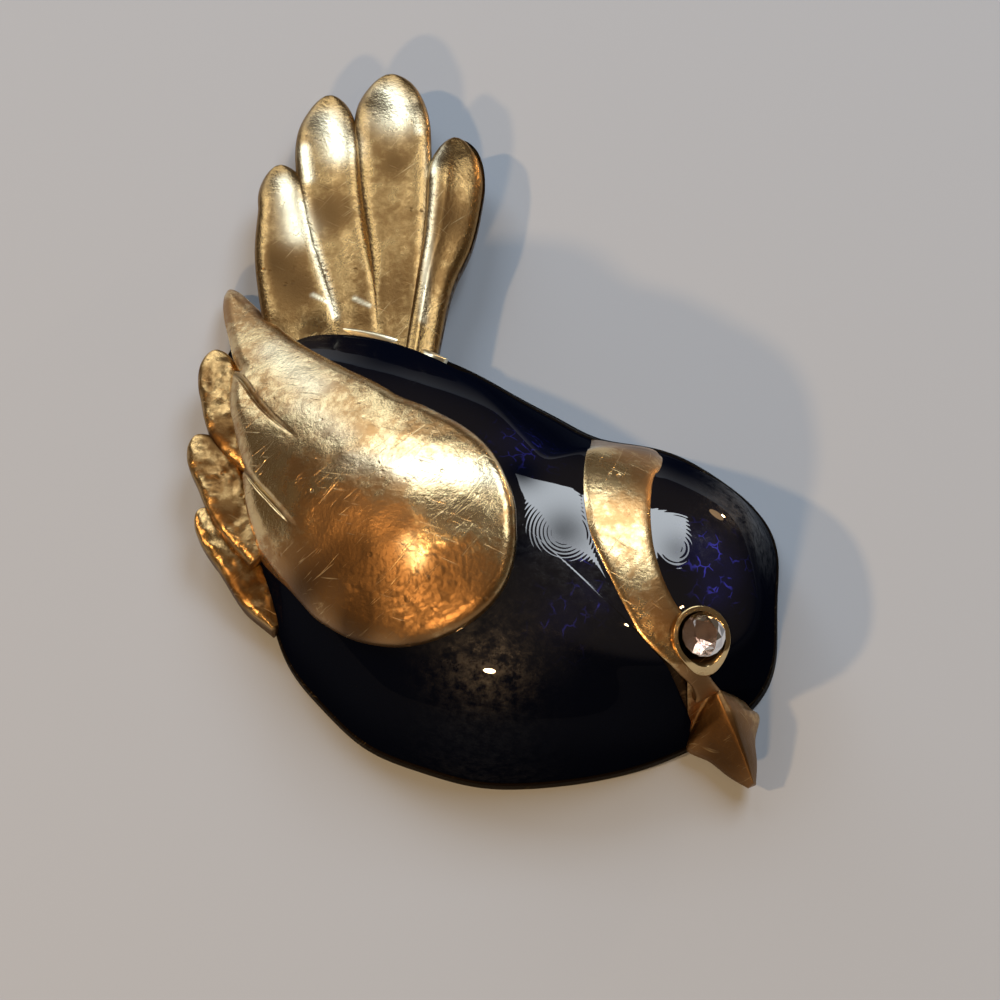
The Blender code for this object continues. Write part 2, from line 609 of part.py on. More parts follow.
def brooch_pin():
    """The plain pin: a stem between two blocks that stand against the inside of the hollow."""
    hinge = BODY_REACH * np.array(PIN_HINGE_END)
    catch = BODY_REACH * np.array(PIN_CATCH_END)
    along = (catch - hinge) / np.linalg.norm(catch - hinge)
    turn = math.atan2(along[1], along[0])
    low, high = PIN_LEVEL - PIN_BLOCK_HEIGHT / 2, PIN_LEVEL + PIN_BLOCK_HEIGHT / 2
    outward = BODY_REACH / 2

    def block(name, end, direction):
        across = np.array((-along[1], along[0])) * PIN_BLOCK_WIDTH / 2
        inner, outer = end - direction * PIN_BLOCK_LENGTH, end + direction * outward
        return prism(name, (inner - across, outer - across, outer + across, inner + across), low, high)

    result = block("brooch_pin", hinge, -along)
    combine(result, "UNION", block("catch_block", catch, along))
    inside = dome("pin_room", ENAMEL_DEPTH + METAL_WALL + PIN_SEAT_GAP, HOLLOW_RINGS, HOLLOW_SECTORS, BODY_HEIGHT)
    combine(result, "INTERSECT", inside)
    lying = Matrix.Rotation(turn, 4, "Z") @ Matrix.Rotation(math.pi / 2, 4, "Y")
    place = Matrix.Translation((*hinge, PIN_LEVEL)) @ lying
    length = float(np.linalg.norm(catch - hinge))
    combine(result, "UNION", turned("pin_stem", ((PIN_RADIUS, 0), (PIN_RADIUS, length)), place, PIN_SIDES))
    return result


def smooth(shape, angle):
    """Smooth shading apart from edges sharper than the angle."""
    shape.data.shade_smooth()
    shape.data.set_sharp_from_angle(angle=math.radians(angle))


def footprint_middle(shape):
    """Middle of a shape's plan after its modifiers."""
    depsgraph = bpy.context.evaluated_depsgraph_get()
    corners = [shape.matrix_world @ Vector(corner) for corner in shape.evaluated_get(depsgraph).bound_box]
    xs, ys = [corner.x for corner in corners], [corner.y for corner in corners]
    return (min(xs) + max(xs)) / 2, (min(ys) + max(ys)) / 2


def build():
    """Makes the brooch."""
    for old in list(bpy.context.scene.objects):
        bpy.data.objects.remove(old, do_unlink=True)
    place = eye_frame()
    metal = casting(place)
    body = enamel("body_enamel", body_region())
    combine(body, "DIFFERENCE", prism("wing_room", grown(wing_outline(), CLEARANCE), 0, ABOVE_ALL))
    combine(body, "DIFFERENCE", under_feather_room("c"))
    crown = enamel("crown_enamel", crown_region())
    cup_room = STONE_RADIUS + STONE_GAP + CUP_WALL + CLEARANCE
    combine(crown, "DIFFERENCE", turned("cup_room", ((cup_room, -2 * CUP_ROOT), (cup_room, 2 * CUP_ROOT)), place))
    stone = eye_stone(place)
    pin = brooch_pin()
    for shape, finish in ((metal, GOLD), (body, ENAMEL), (crown, ENAMEL), (stone, STONE), (pin, STEEL)):
        name, colour, roughness, metallic, edge_angle = finish
        shape.data.materials.append(material(f"{name}_{shape.name}", colour, roughness, metallic))
        smooth(shape, edge_angle)
    brooch = bpy.data.objects.new("brooch", None)
    bpy.context.scene.collection.objects.link(brooch)
    x, y = footprint_middle(metal)
    for shape in list(bpy.context.scene.objects):
        if shape is not brooch:
            shape.parent = brooch
    brooch.location = (-x, -y, 0)


build()
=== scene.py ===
"""Looks of a cast and enamelled bird brooch that lies on its back on a pale surface, for Blender 4.5.

Shapes are worked out in millimetres from the crown of the bird's domed body, with +X towards the beak and +Y
towards the tail, and are put into the frame in metres.
"""
import math

import bpy
import numpy as np
from mathutils import Matrix, Vector


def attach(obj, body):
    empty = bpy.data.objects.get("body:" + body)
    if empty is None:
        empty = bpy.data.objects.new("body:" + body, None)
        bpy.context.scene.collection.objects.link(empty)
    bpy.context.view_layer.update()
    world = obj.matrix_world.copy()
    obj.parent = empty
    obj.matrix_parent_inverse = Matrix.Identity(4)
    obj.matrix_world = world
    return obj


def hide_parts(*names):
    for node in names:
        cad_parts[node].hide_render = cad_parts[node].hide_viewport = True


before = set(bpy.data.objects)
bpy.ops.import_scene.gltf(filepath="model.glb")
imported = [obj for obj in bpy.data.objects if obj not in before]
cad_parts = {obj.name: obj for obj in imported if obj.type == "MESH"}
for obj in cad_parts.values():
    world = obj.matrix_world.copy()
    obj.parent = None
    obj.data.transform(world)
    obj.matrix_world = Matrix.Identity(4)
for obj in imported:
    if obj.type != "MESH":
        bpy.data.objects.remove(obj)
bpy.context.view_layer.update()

# Cast body. One hollow-backed casting in gold-plated base metal, whose domed front carries every other form of
# the bird. The front is sunk by the depth of the enamel, so of this piece only the thin base rim shows there.
MM = 0.001
CROWN_AT = (1.363, -10.705)
BODY_REACH = 15.5
BODY_HEIGHT = 11.0
HEAD_SWELL = 3.2
BREAST_SWELL = 0.3
SIDE_WALL_ANGLE = math.radians(57)
SIDE_WALL_EASE = 0.35
SIDE_WALL_FROM, SIDE_WALL_FULL = 0.55, 0.67
# The cheek of the head stands more upright: direction, how narrow, how much less flank power, and wall angle
CHEEK_TURN = math.radians(-17)
CHEEK_POWER = 4
CHEEK_FLANK_LESS = 0.32
CHEEK_WALL_MORE = math.radians(20)
ENAMEL_DEPTH = 0.6
METAL_WALL = 0.9
RIM_HEIGHT = 0.8
RIM_ROUNDING = 0.12
OUTLINE_POWER = 2.6
HALVINGS = 30
CROWN_LONG, CROWN_SHORT = 1.129, 0.800
CROWN_TURN = math.radians(145)
CROWN_FLANK = 0.56
# Outline every 15 degrees from +X: reach as a share of BODY_REACH, and how upright the flank stands
BODY_OUTLINE = np.array((
    (1.010, 0.62), (1.022, 0.66), (0.929, 0.70), (0.829, 0.74), (0.729, 0.76), (0.748, 0.76),
    (0.839, 0.74), (1.019, 0.68), (1.290, 0.58), (1.503, 0.52), (1.258, 0.50), (1.039, 0.50),
    (0.929, 0.50), (0.877, 0.50), (0.839, 0.50), (0.813, 0.50), (0.784, 0.50), (0.768, 0.50),
    (0.768, 0.50), (0.781, 0.50), (0.826, 0.50), (0.897, 0.50), (0.994, 0.52), (1.026, 0.57),
))
# Swellings of the head and the breast: x, y and radius as shares of BODY_REACH, and height
SWELLINGS = ((0.950, 0.110, 0.410, HEAD_SWELL), (-0.258, 0.0, 0.516, BREAST_SWELL))
# The wing stands off the dome towards its tips: direction, and how narrow that stretch is
WING_LIFT = 5.5
WING_LIFT_TURN = math.radians(145)
WING_LIFT_POWER = 8


def waves(values):
    """Sum of the sines and cosines that pass through evenly spaced values of a full turn."""
    terms = np.fft.rfft(values) / len(values)
    last = len(values) // 2
    weight = np.where(np.isin(np.arange(last + 1), (0, last)), 1, 2) * terms
    return lambda angle: np.sum(
        (weight * np.exp(1j * np.arange(last + 1) * np.asarray(angle)[..., None])).real, axis=-1)


def curve_at(points, where):
    """Cubic through the given rows (Catmull-Rom), at fractional row numbers."""
    rows = np.asarray(points, float)
    rows = np.vstack((2 * rows[0] - rows[1], rows, 2 * rows[-1] - rows[-2]))
    place = np.clip(np.floor(where), 0, len(rows) - 4).astype(int)
    t = (np.asarray(where, float) - place)[:, None]
    before, start, end, after = (rows[place + k] for k in range(4))
    return 0.5 * (2 * start + (end - before) * t + (2 * before - 5 * start + 4 * end - after) * t**2
                  + (3 * start - before - 3 * end + after) * t**3)


def polar(radius, angle):
    """Points on the plan at a radius in each direction."""
    return np.stack((radius * np.cos(angle), radius * np.sin(angle)), axis=-1)


def unit_course(line):
    """Direction of a line at each of its points, of length 1."""
    course = np.gradient(line, axis=0)
    return course / np.linalg.norm(course, axis=1, keepdims=True)


def leftwards(course):
    """Directions on the plan, turned a quarter to the left."""
    return np.stack((-course[:, 1], course[:, 0]), axis=1)


body_reach = waves(BODY_REACH * BODY_OUTLINE[:, 0])
body_flank = waves(BODY_OUTLINE[:, 1])


def smooth_step(value, start, end):
    """0 before start, 1 after end, and 3t^2 - 2t^3 between them."""
    t = np.clip((value - start) / (end - start), 0, 1)
    return t * t * (3 - 2 * t)


def skin(x, y, lift=0.0):
    """Height of the dome: top * (1 - share^2)^power by direction, cut by a straight side wall on the far side."""
    radius, angle = np.hypot(x, y), np.arctan2(y, x)
    reach = body_reach(angle) + lift * np.clip(np.cos(angle - WING_LIFT_TURN), 0, 1) ** WING_LIFT_POWER
    turned = angle - CROWN_TURN
    crown = BODY_REACH / np.hypot(np.cos(turned) / CROWN_LONG, np.sin(turned) / CROWN_SHORT)
    blend = np.clip(radius / reach, 0, 1) ** OUTLINE_POWER
    share = radius / (crown + (reach - crown) * blend)
    top = BODY_HEIGHT
    for swell_x, swell_y, swell_radius, swell in SWELLINGS:
        apart = np.hypot(x - swell_x * BODY_REACH, y - swell_y * BODY_REACH) / (swell_radius * BODY_REACH)
        top = top + swell * np.exp(-apart**2)
    flank = body_flank(angle)
    cheek = np.clip(np.cos(angle - CHEEK_TURN), 0, 1) ** CHEEK_POWER
    power = CROWN_FLANK + (flank - CHEEK_FLANK_LESS * cheek - CROWN_FLANK) * blend
    dome = top * np.clip(1 - share**2, 0, None) ** power
    wall = np.tan(SIDE_WALL_ANGLE + CHEEK_WALL_MORE * cheek) * (reach - radius)
    eased = -SIDE_WALL_EASE * np.logaddexp(-dome / SIDE_WALL_EASE, -wall / SIDE_WALL_EASE)
    walled = np.clip((flank - SIDE_WALL_FROM) / (SIDE_WALL_FULL - SIDE_WALL_FROM), 0, 1)
    walled = np.maximum(walled, cheek)
    return np.clip(dome + (np.minimum(eased, dome) - dome) * walled, 0, None)


def slopes(x, y, lift=0.0, step=0.04):
    """Slopes of the dome along X and along Y, by differences."""
    return ((skin(x + step, y, lift) - skin(x - step, y, lift)) / (2 * step),
            (skin(x, y + step, lift) - skin(x, y - step, lift)) / (2 * step))


def on_skin(plan, above=0.0):
    """Points over a plan on the dome, moved along its normal by the given distance."""
    x, y = plan[..., 0], plan[..., 1]
    slope_x, slope_y = slopes(x, y)
    z = skin(x, y)
    normal = np.stack((-slope_x, -slope_y, np.ones_like(z)), axis=-1)
    normal /= np.linalg.norm(normal, axis=-1, keepdims=True)
    return np.stack((x, y, z), axis=-1) + np.asarray(above)[..., None] * normal


def radius_at(angle, level):
    """Where the dome comes down to a level in each direction, by halving between the crown and the outline."""
    low, high = np.zeros_like(angle), body_reach(angle)
    for _ in range(HALVINGS):
        middle = (low + high) / 2
        above = skin(middle * np.cos(angle), middle * np.sin(angle)) > level
        low, high = np.where(above, middle, low), np.where(above, high, middle)
    return low


def placed(name, data):
    """A new object in the scene."""
    thing = bpy.data.objects.new(name, data)
    bpy.context.scene.collection.objects.link(thing)
    return thing


def new_piece(name, points, faces, fields=None):
    """A mesh object from points in millimetres, turned outwards by the sign of its volume, with point values."""
    points = np.asarray(points, float)
    corners = [points[np.array([face[k] for face in faces])] for k in (0, 1, 2)]
    if np.einsum("ij,ij->", corners[0], np.cross(corners[1], corners[2])) < 0:
        faces = [face[::-1] for face in faces]
    mesh = bpy.data.meshes.new(name)
    mesh.from_pydata((points + (*CROWN_AT, 0)) * MM, [], faces)
    for field, values in (fields or {}).items():
        layer = mesh.attributes.new(field, "FLOAT", "POINT")
        layer.data.foreach_set("value", np.ravel(values).astype(np.float32))
    mesh.shade_smooth()
    return placed(name, mesh)


def shell_faces(rows, around, first=0):
    """Quads between neighbouring closed rings of points, and a fan to a middle point at both ends."""
    ring = np.arange(around)
    after = np.roll(ring, -1)
    base = first + (np.arange(rows - 1) * around)[:, None]
    quads = np.stack((base + ring, base + after, base + around + after, base + around + ring), axis=2)
    last = first + (rows - 1) * around
    poles = (first + rows * around, first + rows * around + 1)
    fans = [(int(b), int(a), poles[0]) for a, b in zip(first + ring, first + after)]
    fans += [(int(a), int(b), poles[1]) for a, b in zip(last + ring, last + after)]
    return quads.reshape(-1, 4).tolist() + fans


def shell(name, rings, fields=None):
    """A closed piece through rings of points of equal count; its ends are closed at the rings' middles."""
    rings = np.asarray(rings, float)
    rows, around = rings.shape[:2]
    points = np.vstack((rings.reshape(-1, 3), rings[0].mean(axis=0), rings[-1].mean(axis=0)))
    full = {key: np.concatenate((np.ravel(value), (np.mean(value[0]), np.mean(value[-1]))))
            for key, value in (fields or {}).items()}
    return new_piece(name, points, shell_faces(rows, around), full)


def dress(piece, finish, slot, *nodes):
    """Gives a piece its finish, and says what it rides on and stands for; the slot is not used."""
    piece.data.materials.append(finish)
    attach(piece, "root")
    if nodes:
        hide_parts(*nodes)


def cast_piece(name, rings, finish, **fields):
    """A closed piece that is a part of the bird's casting, with its gold and its point values."""
    dress(shell(name, rings, fields), finish, "gold_plate", "bird_casting")


def linked(tree, kind, inputs=None, **settings):
    """A node with its settings; each input is a value, or a socket that is linked to it."""
    node = tree.nodes.new(kind)
    for key, value in settings.items():
        setattr(node, key, value)
    for key, value in (inputs or {}).items():
        if isinstance(value, bpy.types.NodeSocket):
            tree.links.new(value, node.inputs[key])
        else:
            node.inputs[key].default_value = value
    return node


def ramp(tree, value, *stops):
    """A smooth scale of greys or colours over a value: stops are (place, colour or grey)."""
    node = linked(tree, "ShaderNodeValToRGB", {"Fac": value})
    node.color_ramp.interpolation = "EASE"
    while len(node.color_ramp.elements) < len(stops):
        node.color_ramp.elements.new(0.5)
    for element, (place, colour) in zip(node.color_ramp.elements, stops):
        element.position = place
        element.color = (*colour, 1) if isinstance(colour, tuple) else (colour, colour, colour, 1)
    return node.outputs["Color"]


def blended(tree, share, first, second, how="MIX"):
    """Two colours mixed by a share."""
    node = linked(tree, "ShaderNodeMix", data_type="RGBA", blend_type=how)
    sockets = {"Factor": node.inputs[0], "A": node.inputs[6], "B": node.inputs[7]}
    for key, value in zip(("Factor", "A", "B"), (share, first, second)):
        if isinstance(value, bpy.types.NodeSocket):
            tree.links.new(value, sockets[key])
        else:
            sockets[key].default_value = (*value, 1) if isinstance(value, tuple) else value
    return node.outputs[2]


def sums(tree, how, first, second, limited=False):
    """One arithmetic step on two values."""
    node = linked(tree, "ShaderNodeMath", {0: first, 1: second}, operation=how, use_clamp=limited)
    return node.outputs[0]


def times(tree, first, second, limited=False):
    """The product of two values."""
    return sums(tree, "MULTIPLY", first, second, limited)


def plus(tree, first, second):
    """The sum of two values."""
    return sums(tree, "ADD", first, second)


def noise(tree, place, scale, detail=2.0, roughness=0.5, distortion=0.0):
    """Cloudy noise between 0 and 1 over a place."""
    return linked(tree, "ShaderNodeTexNoise", {"Vector": place, "Scale": scale, "Detail": detail,
                                               "Roughness": roughness, "Distortion": distortion}).outputs["Fac"]


def hairlines(tree, place, turns, stretch, detail, faint, full):
    """Thin straight lines: noise stretched along one turned direction, of which only the peaks are kept."""
    run = linked(tree, "ShaderNodeMapping", {"Vector": place, "Rotation": turns,
                                             "Scale": tuple(1 / size for size in stretch)}, vector_type="TEXTURE")
    return ramp(tree, noise(tree, run.outputs["Vector"], 1.0, detail), (faint, 0.0), (full, 1.0))


def point_value(tree, name):
    """A value that the mesh carries at its points."""
    return linked(tree, "ShaderNodeAttribute", attribute_name=name).outputs["Fac"]


def new_finish(name, constants):
    """A new material with constant values on its shader; gives its node tree and its shader as well."""
    finish = bpy.data.materials.new(name)
    finish.use_nodes = True
    shader = finish.node_tree.nodes["Principled BSDF"]
    for key, value in constants.items():
        shader.inputs[key].default_value = value
    return finish, finish.node_tree, shader


def object_place(tree):
    """The place on the object, in metres."""
    return linked(tree, "ShaderNodeTexCoord").outputs["Object"]


# Repeats per metre of each pattern of wear on the gold
CLOUDS, MOTTLE, PITS, PITTED_PLACES = 210.0, 1500.0, 1250.0, 420.0
WORN_PLACES, DENTS, GRAIN = 330.0, 700.0, 4200.0
# How much the clouds, the mottle and the wanted tarnish count, and where tarnish begins and is full
CLOUD_SHARE, MOTTLE_SHARE, TARNISH_SHARE = 0.58, 0.42, 0.34
TARNISH_FROM, TARNISH_FULL = 0.44, 0.61
# Turn and tilt of each family of scratches, and its repeats per metre lengthwise, across and in depth
SCRATCHES = ((0.75, 0.3, 200.0), (-0.5, -0.2, 260.0), (1.05, 0.4, 170.0))
SCRATCH_ROLL, SCRATCH_ACROSS, SCRATCH_DEEP = 0.2, 9000.0, 500.0
# How far pits and scratches go down, and grain and dents up, and how dark a pit is
PIT_HEIGHT, SCRATCH_HEIGHT, GRAIN_HEIGHT, DENT_HEIGHT = -1.0, 0.35, 0.55, 0.9
PIT_TARNISH = 0.85


def worn_gold_group():
    """Wear of old gold plate: cloudy tarnish, dark pits, hairline scratches in three directions, fine grain."""
    group = bpy.data.node_groups.new("worn_gold", "ShaderNodeTree")
    for name, kind, start in (("Vector", "NodeSocketVector", None), ("Tarnish", "NodeSocketFloat", 0.4),
                              ("Scratches", "NodeSocketFloat", 1.0), ("Grain", "NodeSocketFloat", 1.0)):
        socket = group.interface.new_socket(name, in_out="INPUT", socket_type=kind)
        if start is not None:
            socket.default_value = start
    for name in ("Tarnish", "Marks", "Height"):
        group.interface.new_socket(name, in_out="OUTPUT", socket_type="NodeSocketFloat")
    given = group.nodes.new("NodeGroupInput").outputs
    place = given["Vector"]
    clouds = noise(group, place, CLOUDS, detail=7.0, roughness=0.62, distortion=0.6)
    mottle = noise(group, place, MOTTLE, detail=5.0, roughness=0.7)
    cloudy = plus(group, times(group, clouds, CLOUD_SHARE), times(group, mottle, MOTTLE_SHARE))
    wanted = times(group, sums(group, "SUBTRACT", given["Tarnish"], 0.5), TARNISH_SHARE)
    tarnish = ramp(group, plus(group, cloudy, wanted), (TARNISH_FROM, 0.0), (TARNISH_FULL, 1.0))
    pits = linked(group, "ShaderNodeTexVoronoi", {"Vector": place, "Scale": PITS, "Randomness": 1.0}).outputs
    holes = ramp(group, pits["Distance"], (0.06, 1.0), (0.22, 0.0))
    pitted = times(group, holes, ramp(group, noise(group, place, PITTED_PLACES), (0.52, 0.0), (0.66, 1.0)))
    marks = 0.0
    for turn, tilt, length in SCRATCHES:
        lines = hairlines(group, place, turns=(tilt, SCRATCH_ROLL, turn), detail=2.0, faint=0.66, full=0.74,
                          stretch=(length, SCRATCH_ACROSS, SCRATCH_DEEP))
        marks = sums(group, "MAXIMUM", marks, lines)
    worn = ramp(group, noise(group, place, WORN_PLACES, detail=3.0), (0.44, 0.05), (0.60, 1.0))
    marks = times(group, times(group, marks, worn), given["Scratches"])
    height = sums(group, "SUBTRACT", times(group, pitted, PIT_HEIGHT), times(group, marks, SCRATCH_HEIGHT))
    grain = times(group, noise(group, place, GRAIN, detail=4.0, roughness=0.65), GRAIN_HEIGHT)
    height = plus(group, height, times(group, grain, given["Grain"]))
    height = plus(group, height, times(group, noise(group, place, DENTS, detail=3.0), DENT_HEIGHT))
    result = group.nodes.new("NodeGroupOutput")
    group.links.new(sums(group, "MAXIMUM", tarnish, times(group, pitted, PIT_TARNISH)), result.inputs["Tarnish"])
    group.links.new(marks, result.inputs["Marks"])
    group.links.new(height, result.inputs["Height"])
    return group


worn_gold = worn_gold_group()
GOLD_PALE = (0.98, 0.90, 0.64)
GOLD_BRIGHT = (0.80, 0.61, 0.32)
GOLD_WARM = (0.44, 0.25, 0.10)
GOLD_STAIN_SHADE = (0.055, 0.028, 0.010)
BODY_SHADE_BLACK = (0.010, 0.007, 0.005)
# How much stains and painted shade add to the tarnish and darken where it is tarnished, and a scratch brightens
STAIN_SHADE_TARNISH, STAIN_SHADE_DARK, SCRATCH_BRIGHT = 0.9, 0.85, 0.45
# How much rougher tarnish, stains and painted shade are, and how much smoother painted highlights are
TARNISH_ROUGH, STAIN_SHADE_ROUGH, HIGHLIGHT_SMOOTH = 0.10, 0.18, 0.06


def gold(name, tarnish=0.45, scratches=1.0, grain=1.0, roughness=0.20, bright=GOLD_BRIGHT, warm=GOLD_WARM,
         stain_shade_colour=GOLD_STAIN_SHADE):
    """Old gold plate: pale where highlights are painted, brown where it is tarnished, dark in stains and in painted
    shade.
    """
    finish, tree, shader = new_finish(name, {"Metallic": 1.0})
    wear = linked(tree, "ShaderNodeGroup", node_tree=worn_gold)
    tree.links.new(object_place(tree), wear.inputs["Vector"])
    stain, recess, polish = (point_value(tree, field) for field in ("stain", "recess", "polish"))
    tree.links.new(plus(tree, times(tree, stain, STAIN_SHADE_TARNISH), tarnish), wear.inputs["Tarnish"])
    wear.inputs["Scratches"].default_value = scratches
    wear.inputs["Grain"].default_value = grain
    dull = wear.outputs["Tarnish"]
    colour = blended(tree, dull, bright, warm)
    # Painted highlight: pale gold where a highlight is painted
    colour = blended(tree, polish, colour, GOLD_PALE)
    # Stains darken where tarnished, and painted shade darkens recesses, undersides, the eye cup and the cast body's
    # rim
    colour = blended(tree, times(tree, times(tree, stain, dull), STAIN_SHADE_DARK, limited=True), colour, stain_shade_colour)
    colour = blended(tree, recess, colour, stain_shade_colour)
    colour = blended(tree, times(tree, wear.outputs["Marks"], SCRATCH_BRIGHT), colour, GOLD_BRIGHT)
    tree.links.new(colour, shader.inputs["Base Color"])
    rough = plus(tree, times(tree, dull, TARNISH_ROUGH), roughness)
    rough = plus(tree, rough, times(tree, sums(tree, "MAXIMUM", stain, recess), STAIN_SHADE_ROUGH))
    rough = sums(tree, "SUBTRACT", rough, times(tree, polish, HIGHLIGHT_SMOOTH))
    tree.links.new(rough, shader.inputs["Roughness"])
    bump = linked(tree, "ShaderNodeBump", {"Height": wear.outputs["Height"], "Strength": 0.6, "Distance": 0.00005})
    tree.links.new(bump.outputs["Normal"], shader.inputs["Normal"])
    return finish


BODY_SECTORS, BODY_ROWS, HOLLOW_ROWS = 360, 60, 24
# The foot of the flank is as wide as the dome is at this level
FOOT_LEVEL = 0.03
around = np.arange(BODY_SECTORS) / BODY_SECTORS * math.tau
rim_reach, foot_reach = radius_at(around, RIM_HEIGHT), body_reach(around)


def directed(radius, z):
    """Ring of points at a radius in each direction, at a level."""
    return np.column_stack((polar(radius, around), np.broadcast_to(z, radius.shape)))


shares = np.sin(np.arange(1, BODY_ROWS + 1) / BODY_ROWS * math.pi / 2)[:, None]
front = on_skin(polar(shares * rim_reach, around), -ENAMEL_DEPTH)
front[..., 2] = np.maximum(front[..., 2], RIM_HEIGHT - RIM_ROUNDING)
rim_turns = np.linspace(0, math.pi / 2, 4)[:, None, None]
rim_top = directed(rim_reach - RIM_ROUNDING, RIM_HEIGHT)[None]
rim_edge = directed(radius_at(around, RIM_HEIGHT - RIM_ROUNDING), RIM_HEIGHT - RIM_ROUNDING)[None]
rim = rim_top + np.sin(rim_turns) * (rim_edge - rim_top) * (1, 1, 0)
rim -= RIM_ROUNDING * (1 - np.cos(rim_turns)) * (0, 0, 1)
levels = np.linspace(RIM_HEIGHT - RIM_ROUNDING, 0, 5)[1:]
flank = np.stack([directed(radius_at(around, max(z, FOOT_LEVEL)), z) for z in levels])
inside = np.sin(np.linspace(math.pi / 2, 0.02, HOLLOW_ROWS))[:, None]
hollow = on_skin(polar(inside * foot_reach, around), -ENAMEL_DEPTH - METAL_WALL)
hollow[..., 2] = np.maximum(hollow[..., 2], 0)
EYE_PLACE = BODY_REACH * np.array((0.666, -0.377))
CUP_INNER, CUP_WALL = 1.32, 0.28
CUP_SHIFT = np.array((-0.13, -0.14))
# How deep the body, the crown enamel and the band are sunk at the eye, from how far outside the cup's opening,
# and over what width
BODY_AT_EYE, CROWN_AT_EYE, BAND_AT_EYE = (0.5, 0.12, 0.3), (1.0, 0.04, 0.2), (1.2, 0.03, 0.2)
# Painted shade on the front below the enamel, on the rim and in the hollow
BODY_SHADE = (0.0, 1.1, 0.4)


def sunk_at_eye(points, depth, margin, width):
    """Points lowered by a depth inside the eye's round opening plus a margin, with a steep step of a width."""
    middle = EYE_PLACE + CUP_SHIFT
    away = np.hypot(points[..., 0] - middle[0], points[..., 1] - middle[1])
    points[..., 2] -= depth * (1 - smooth_step(away, CUP_INNER + margin, CUP_INNER + margin + width))
    return points


body_rings = sunk_at_eye(np.concatenate((front, rim, flank, hollow)), *BODY_AT_EYE)
shade_share = np.repeat(BODY_SHADE, (BODY_ROWS, len(rim) + len(flank), HOLLOW_ROWS))
shade_share = np.broadcast_to(shade_share[:, None], body_rings.shape[:2])
# The cast body's gold is made near black: painted shade on its rim and in its hollow
body_gold = gold("gold_cast_body", tarnish=0.85, scratches=0.2, roughness=0.40, bright=GOLD_WARM, warm=GOLD_STAIN_SHADE,
                 stain_shade_colour=BODY_SHADE_BLACK)
cast_piece("cast_body", body_rings, body_gold, stain=shade_share, recess=np.minimum(shade_share, 1))

# Body enamel. Dark navy translucent enamel, flowed into the sunk cell of the body and polished. It ends at the
# tail line, at the neck band and at the base rim, and runs on below the wing.
ENAMEL_SINK = 0.05
ENAMEL_FLOOR = 0.54
ENAMEL_OVER_RIM = 0.02
MENISCUS_DROP, MENISCUS_WIDTH, MENISCUS_POWER = 0.06, 0.35, 1.5
# Lines on the plan as shares of BODY_REACH: where the tail begins, and the back and the front edge of the band
TAIL_LINE = np.array((
    (-0.980, 1.040), (-0.915, 1.031), (-0.806, 1.006), (-0.645, 0.971), (-0.490, 0.942), (-0.284, 0.897),
    (-0.200, 0.820), (-0.150, 0.900),
))
BAND_BACK_EDGE = np.array((
    (0.340, 0.800), (0.315, 0.550), (0.287, 0.370), (0.267, 0.236), (0.259, 0.106), (0.270, -0.021),
    (0.296, -0.108), (0.325, -0.173), (0.365, -0.256), (0.398, -0.317), (0.443, -0.391), (0.502, -0.447),
    (0.571, -0.492), (0.650, -0.523), (0.650, -0.575), (0.620, -0.800),
))
BAND_FRONT_EDGE = np.array((
    (0.580, 0.700), (0.553, 0.314), (0.512, 0.203), (0.496, 0.110), (0.490, 0.020), (0.493, -0.060),
    (0.502, -0.119), (0.521, -0.187), (0.548, -0.250), (0.580, -0.300), (0.630, -0.350), (0.680, -0.400),
    (0.690, -0.467), (0.709, -0.485), (0.772, -0.495), (0.848, -0.482), (0.913, -0.470), (1.060, -0.500),
))
ENAMEL_SECTORS, ENAMEL_ROWS, ENAMEL_BACK_ROWS = 720, 90, 10
INNERMOST = 0.05
ENAMEL_NAVY = (0.0016, 0.0025, 0.0070)
# Blues of a painted glow, in clouds and along fissures, standing for light scattered inside the enamel
ENAMEL_BLUE = (0.006, 0.008, 0.070)
FISSURE_BLUE = (0.045, 0.05, 0.55)
# The gloss is dulled by grime on the steep flanks: lowest share, and how level the skin is where it grows to full
DULL_GLOSS = 0.03
DULL_TO, GLOSSY_FROM = 0.70, 0.94
# Even that share fades where the skin is nearly upright
UPRIGHT_TO, STEEP_FROM = 0.2, 0.6
# Repeats per metre of the patterns in the enamel, and how far in metres the fissures are bent
GLOW_CLOUDS, FISSURES, FISSURED_PLACES, BENDS, DUST, WAVES = 420.0, 1300.0, 1100.0, 900.0, 1600.0, 300.0
FISSURE_BEND = 0.0008
DUST_SHEEN = 0.9
# Ripple: turns of its rings per metre, in radians, and how steeply it fades with the distance; a scratch's depth
RIPPLE_TURNS, RIPPLE_FADE = 31000.0, 250.0
HAIR_HEIGHT = -0.05
# Corners of the lattice of random values, and how its three directions are counted through them
LATTICE, LATTICE_STEPS = 4096, np.array((73, 179, 283))


def along(points, steps=12):
    """Points on the smooth curve through the rows of a table, each stretch divided into equal steps."""
    return curve_at(points, np.arange((len(points) - 1) * steps + 1) / steps)


def ray_limit(middle, angle, line):
    """How far a ray from the middle runs in each direction before it crosses a line; without end if it doesn't."""
    start, end = line[:-1] - middle, line[1:] - middle
    run = end - start
    ray = polar(1.0, angle)[:, None]
    across = ray[..., 0] * run[:, 1] - ray[..., 1] * run[:, 0]
    across = np.where(np.abs(across) < 1e-9, 1e-9, across)
    distance = (start[:, 0] * run[:, 1] - start[:, 1] * run[:, 0]) / across
    share = (start[:, 0] * ray[..., 1] - start[:, 1] * ray[..., 0]) / across
    crossed = (distance > 0) & (share >= -1e-6) & (share <= 1 + 1e-6)
    return np.min(np.where(crossed, distance, np.inf), axis=1)


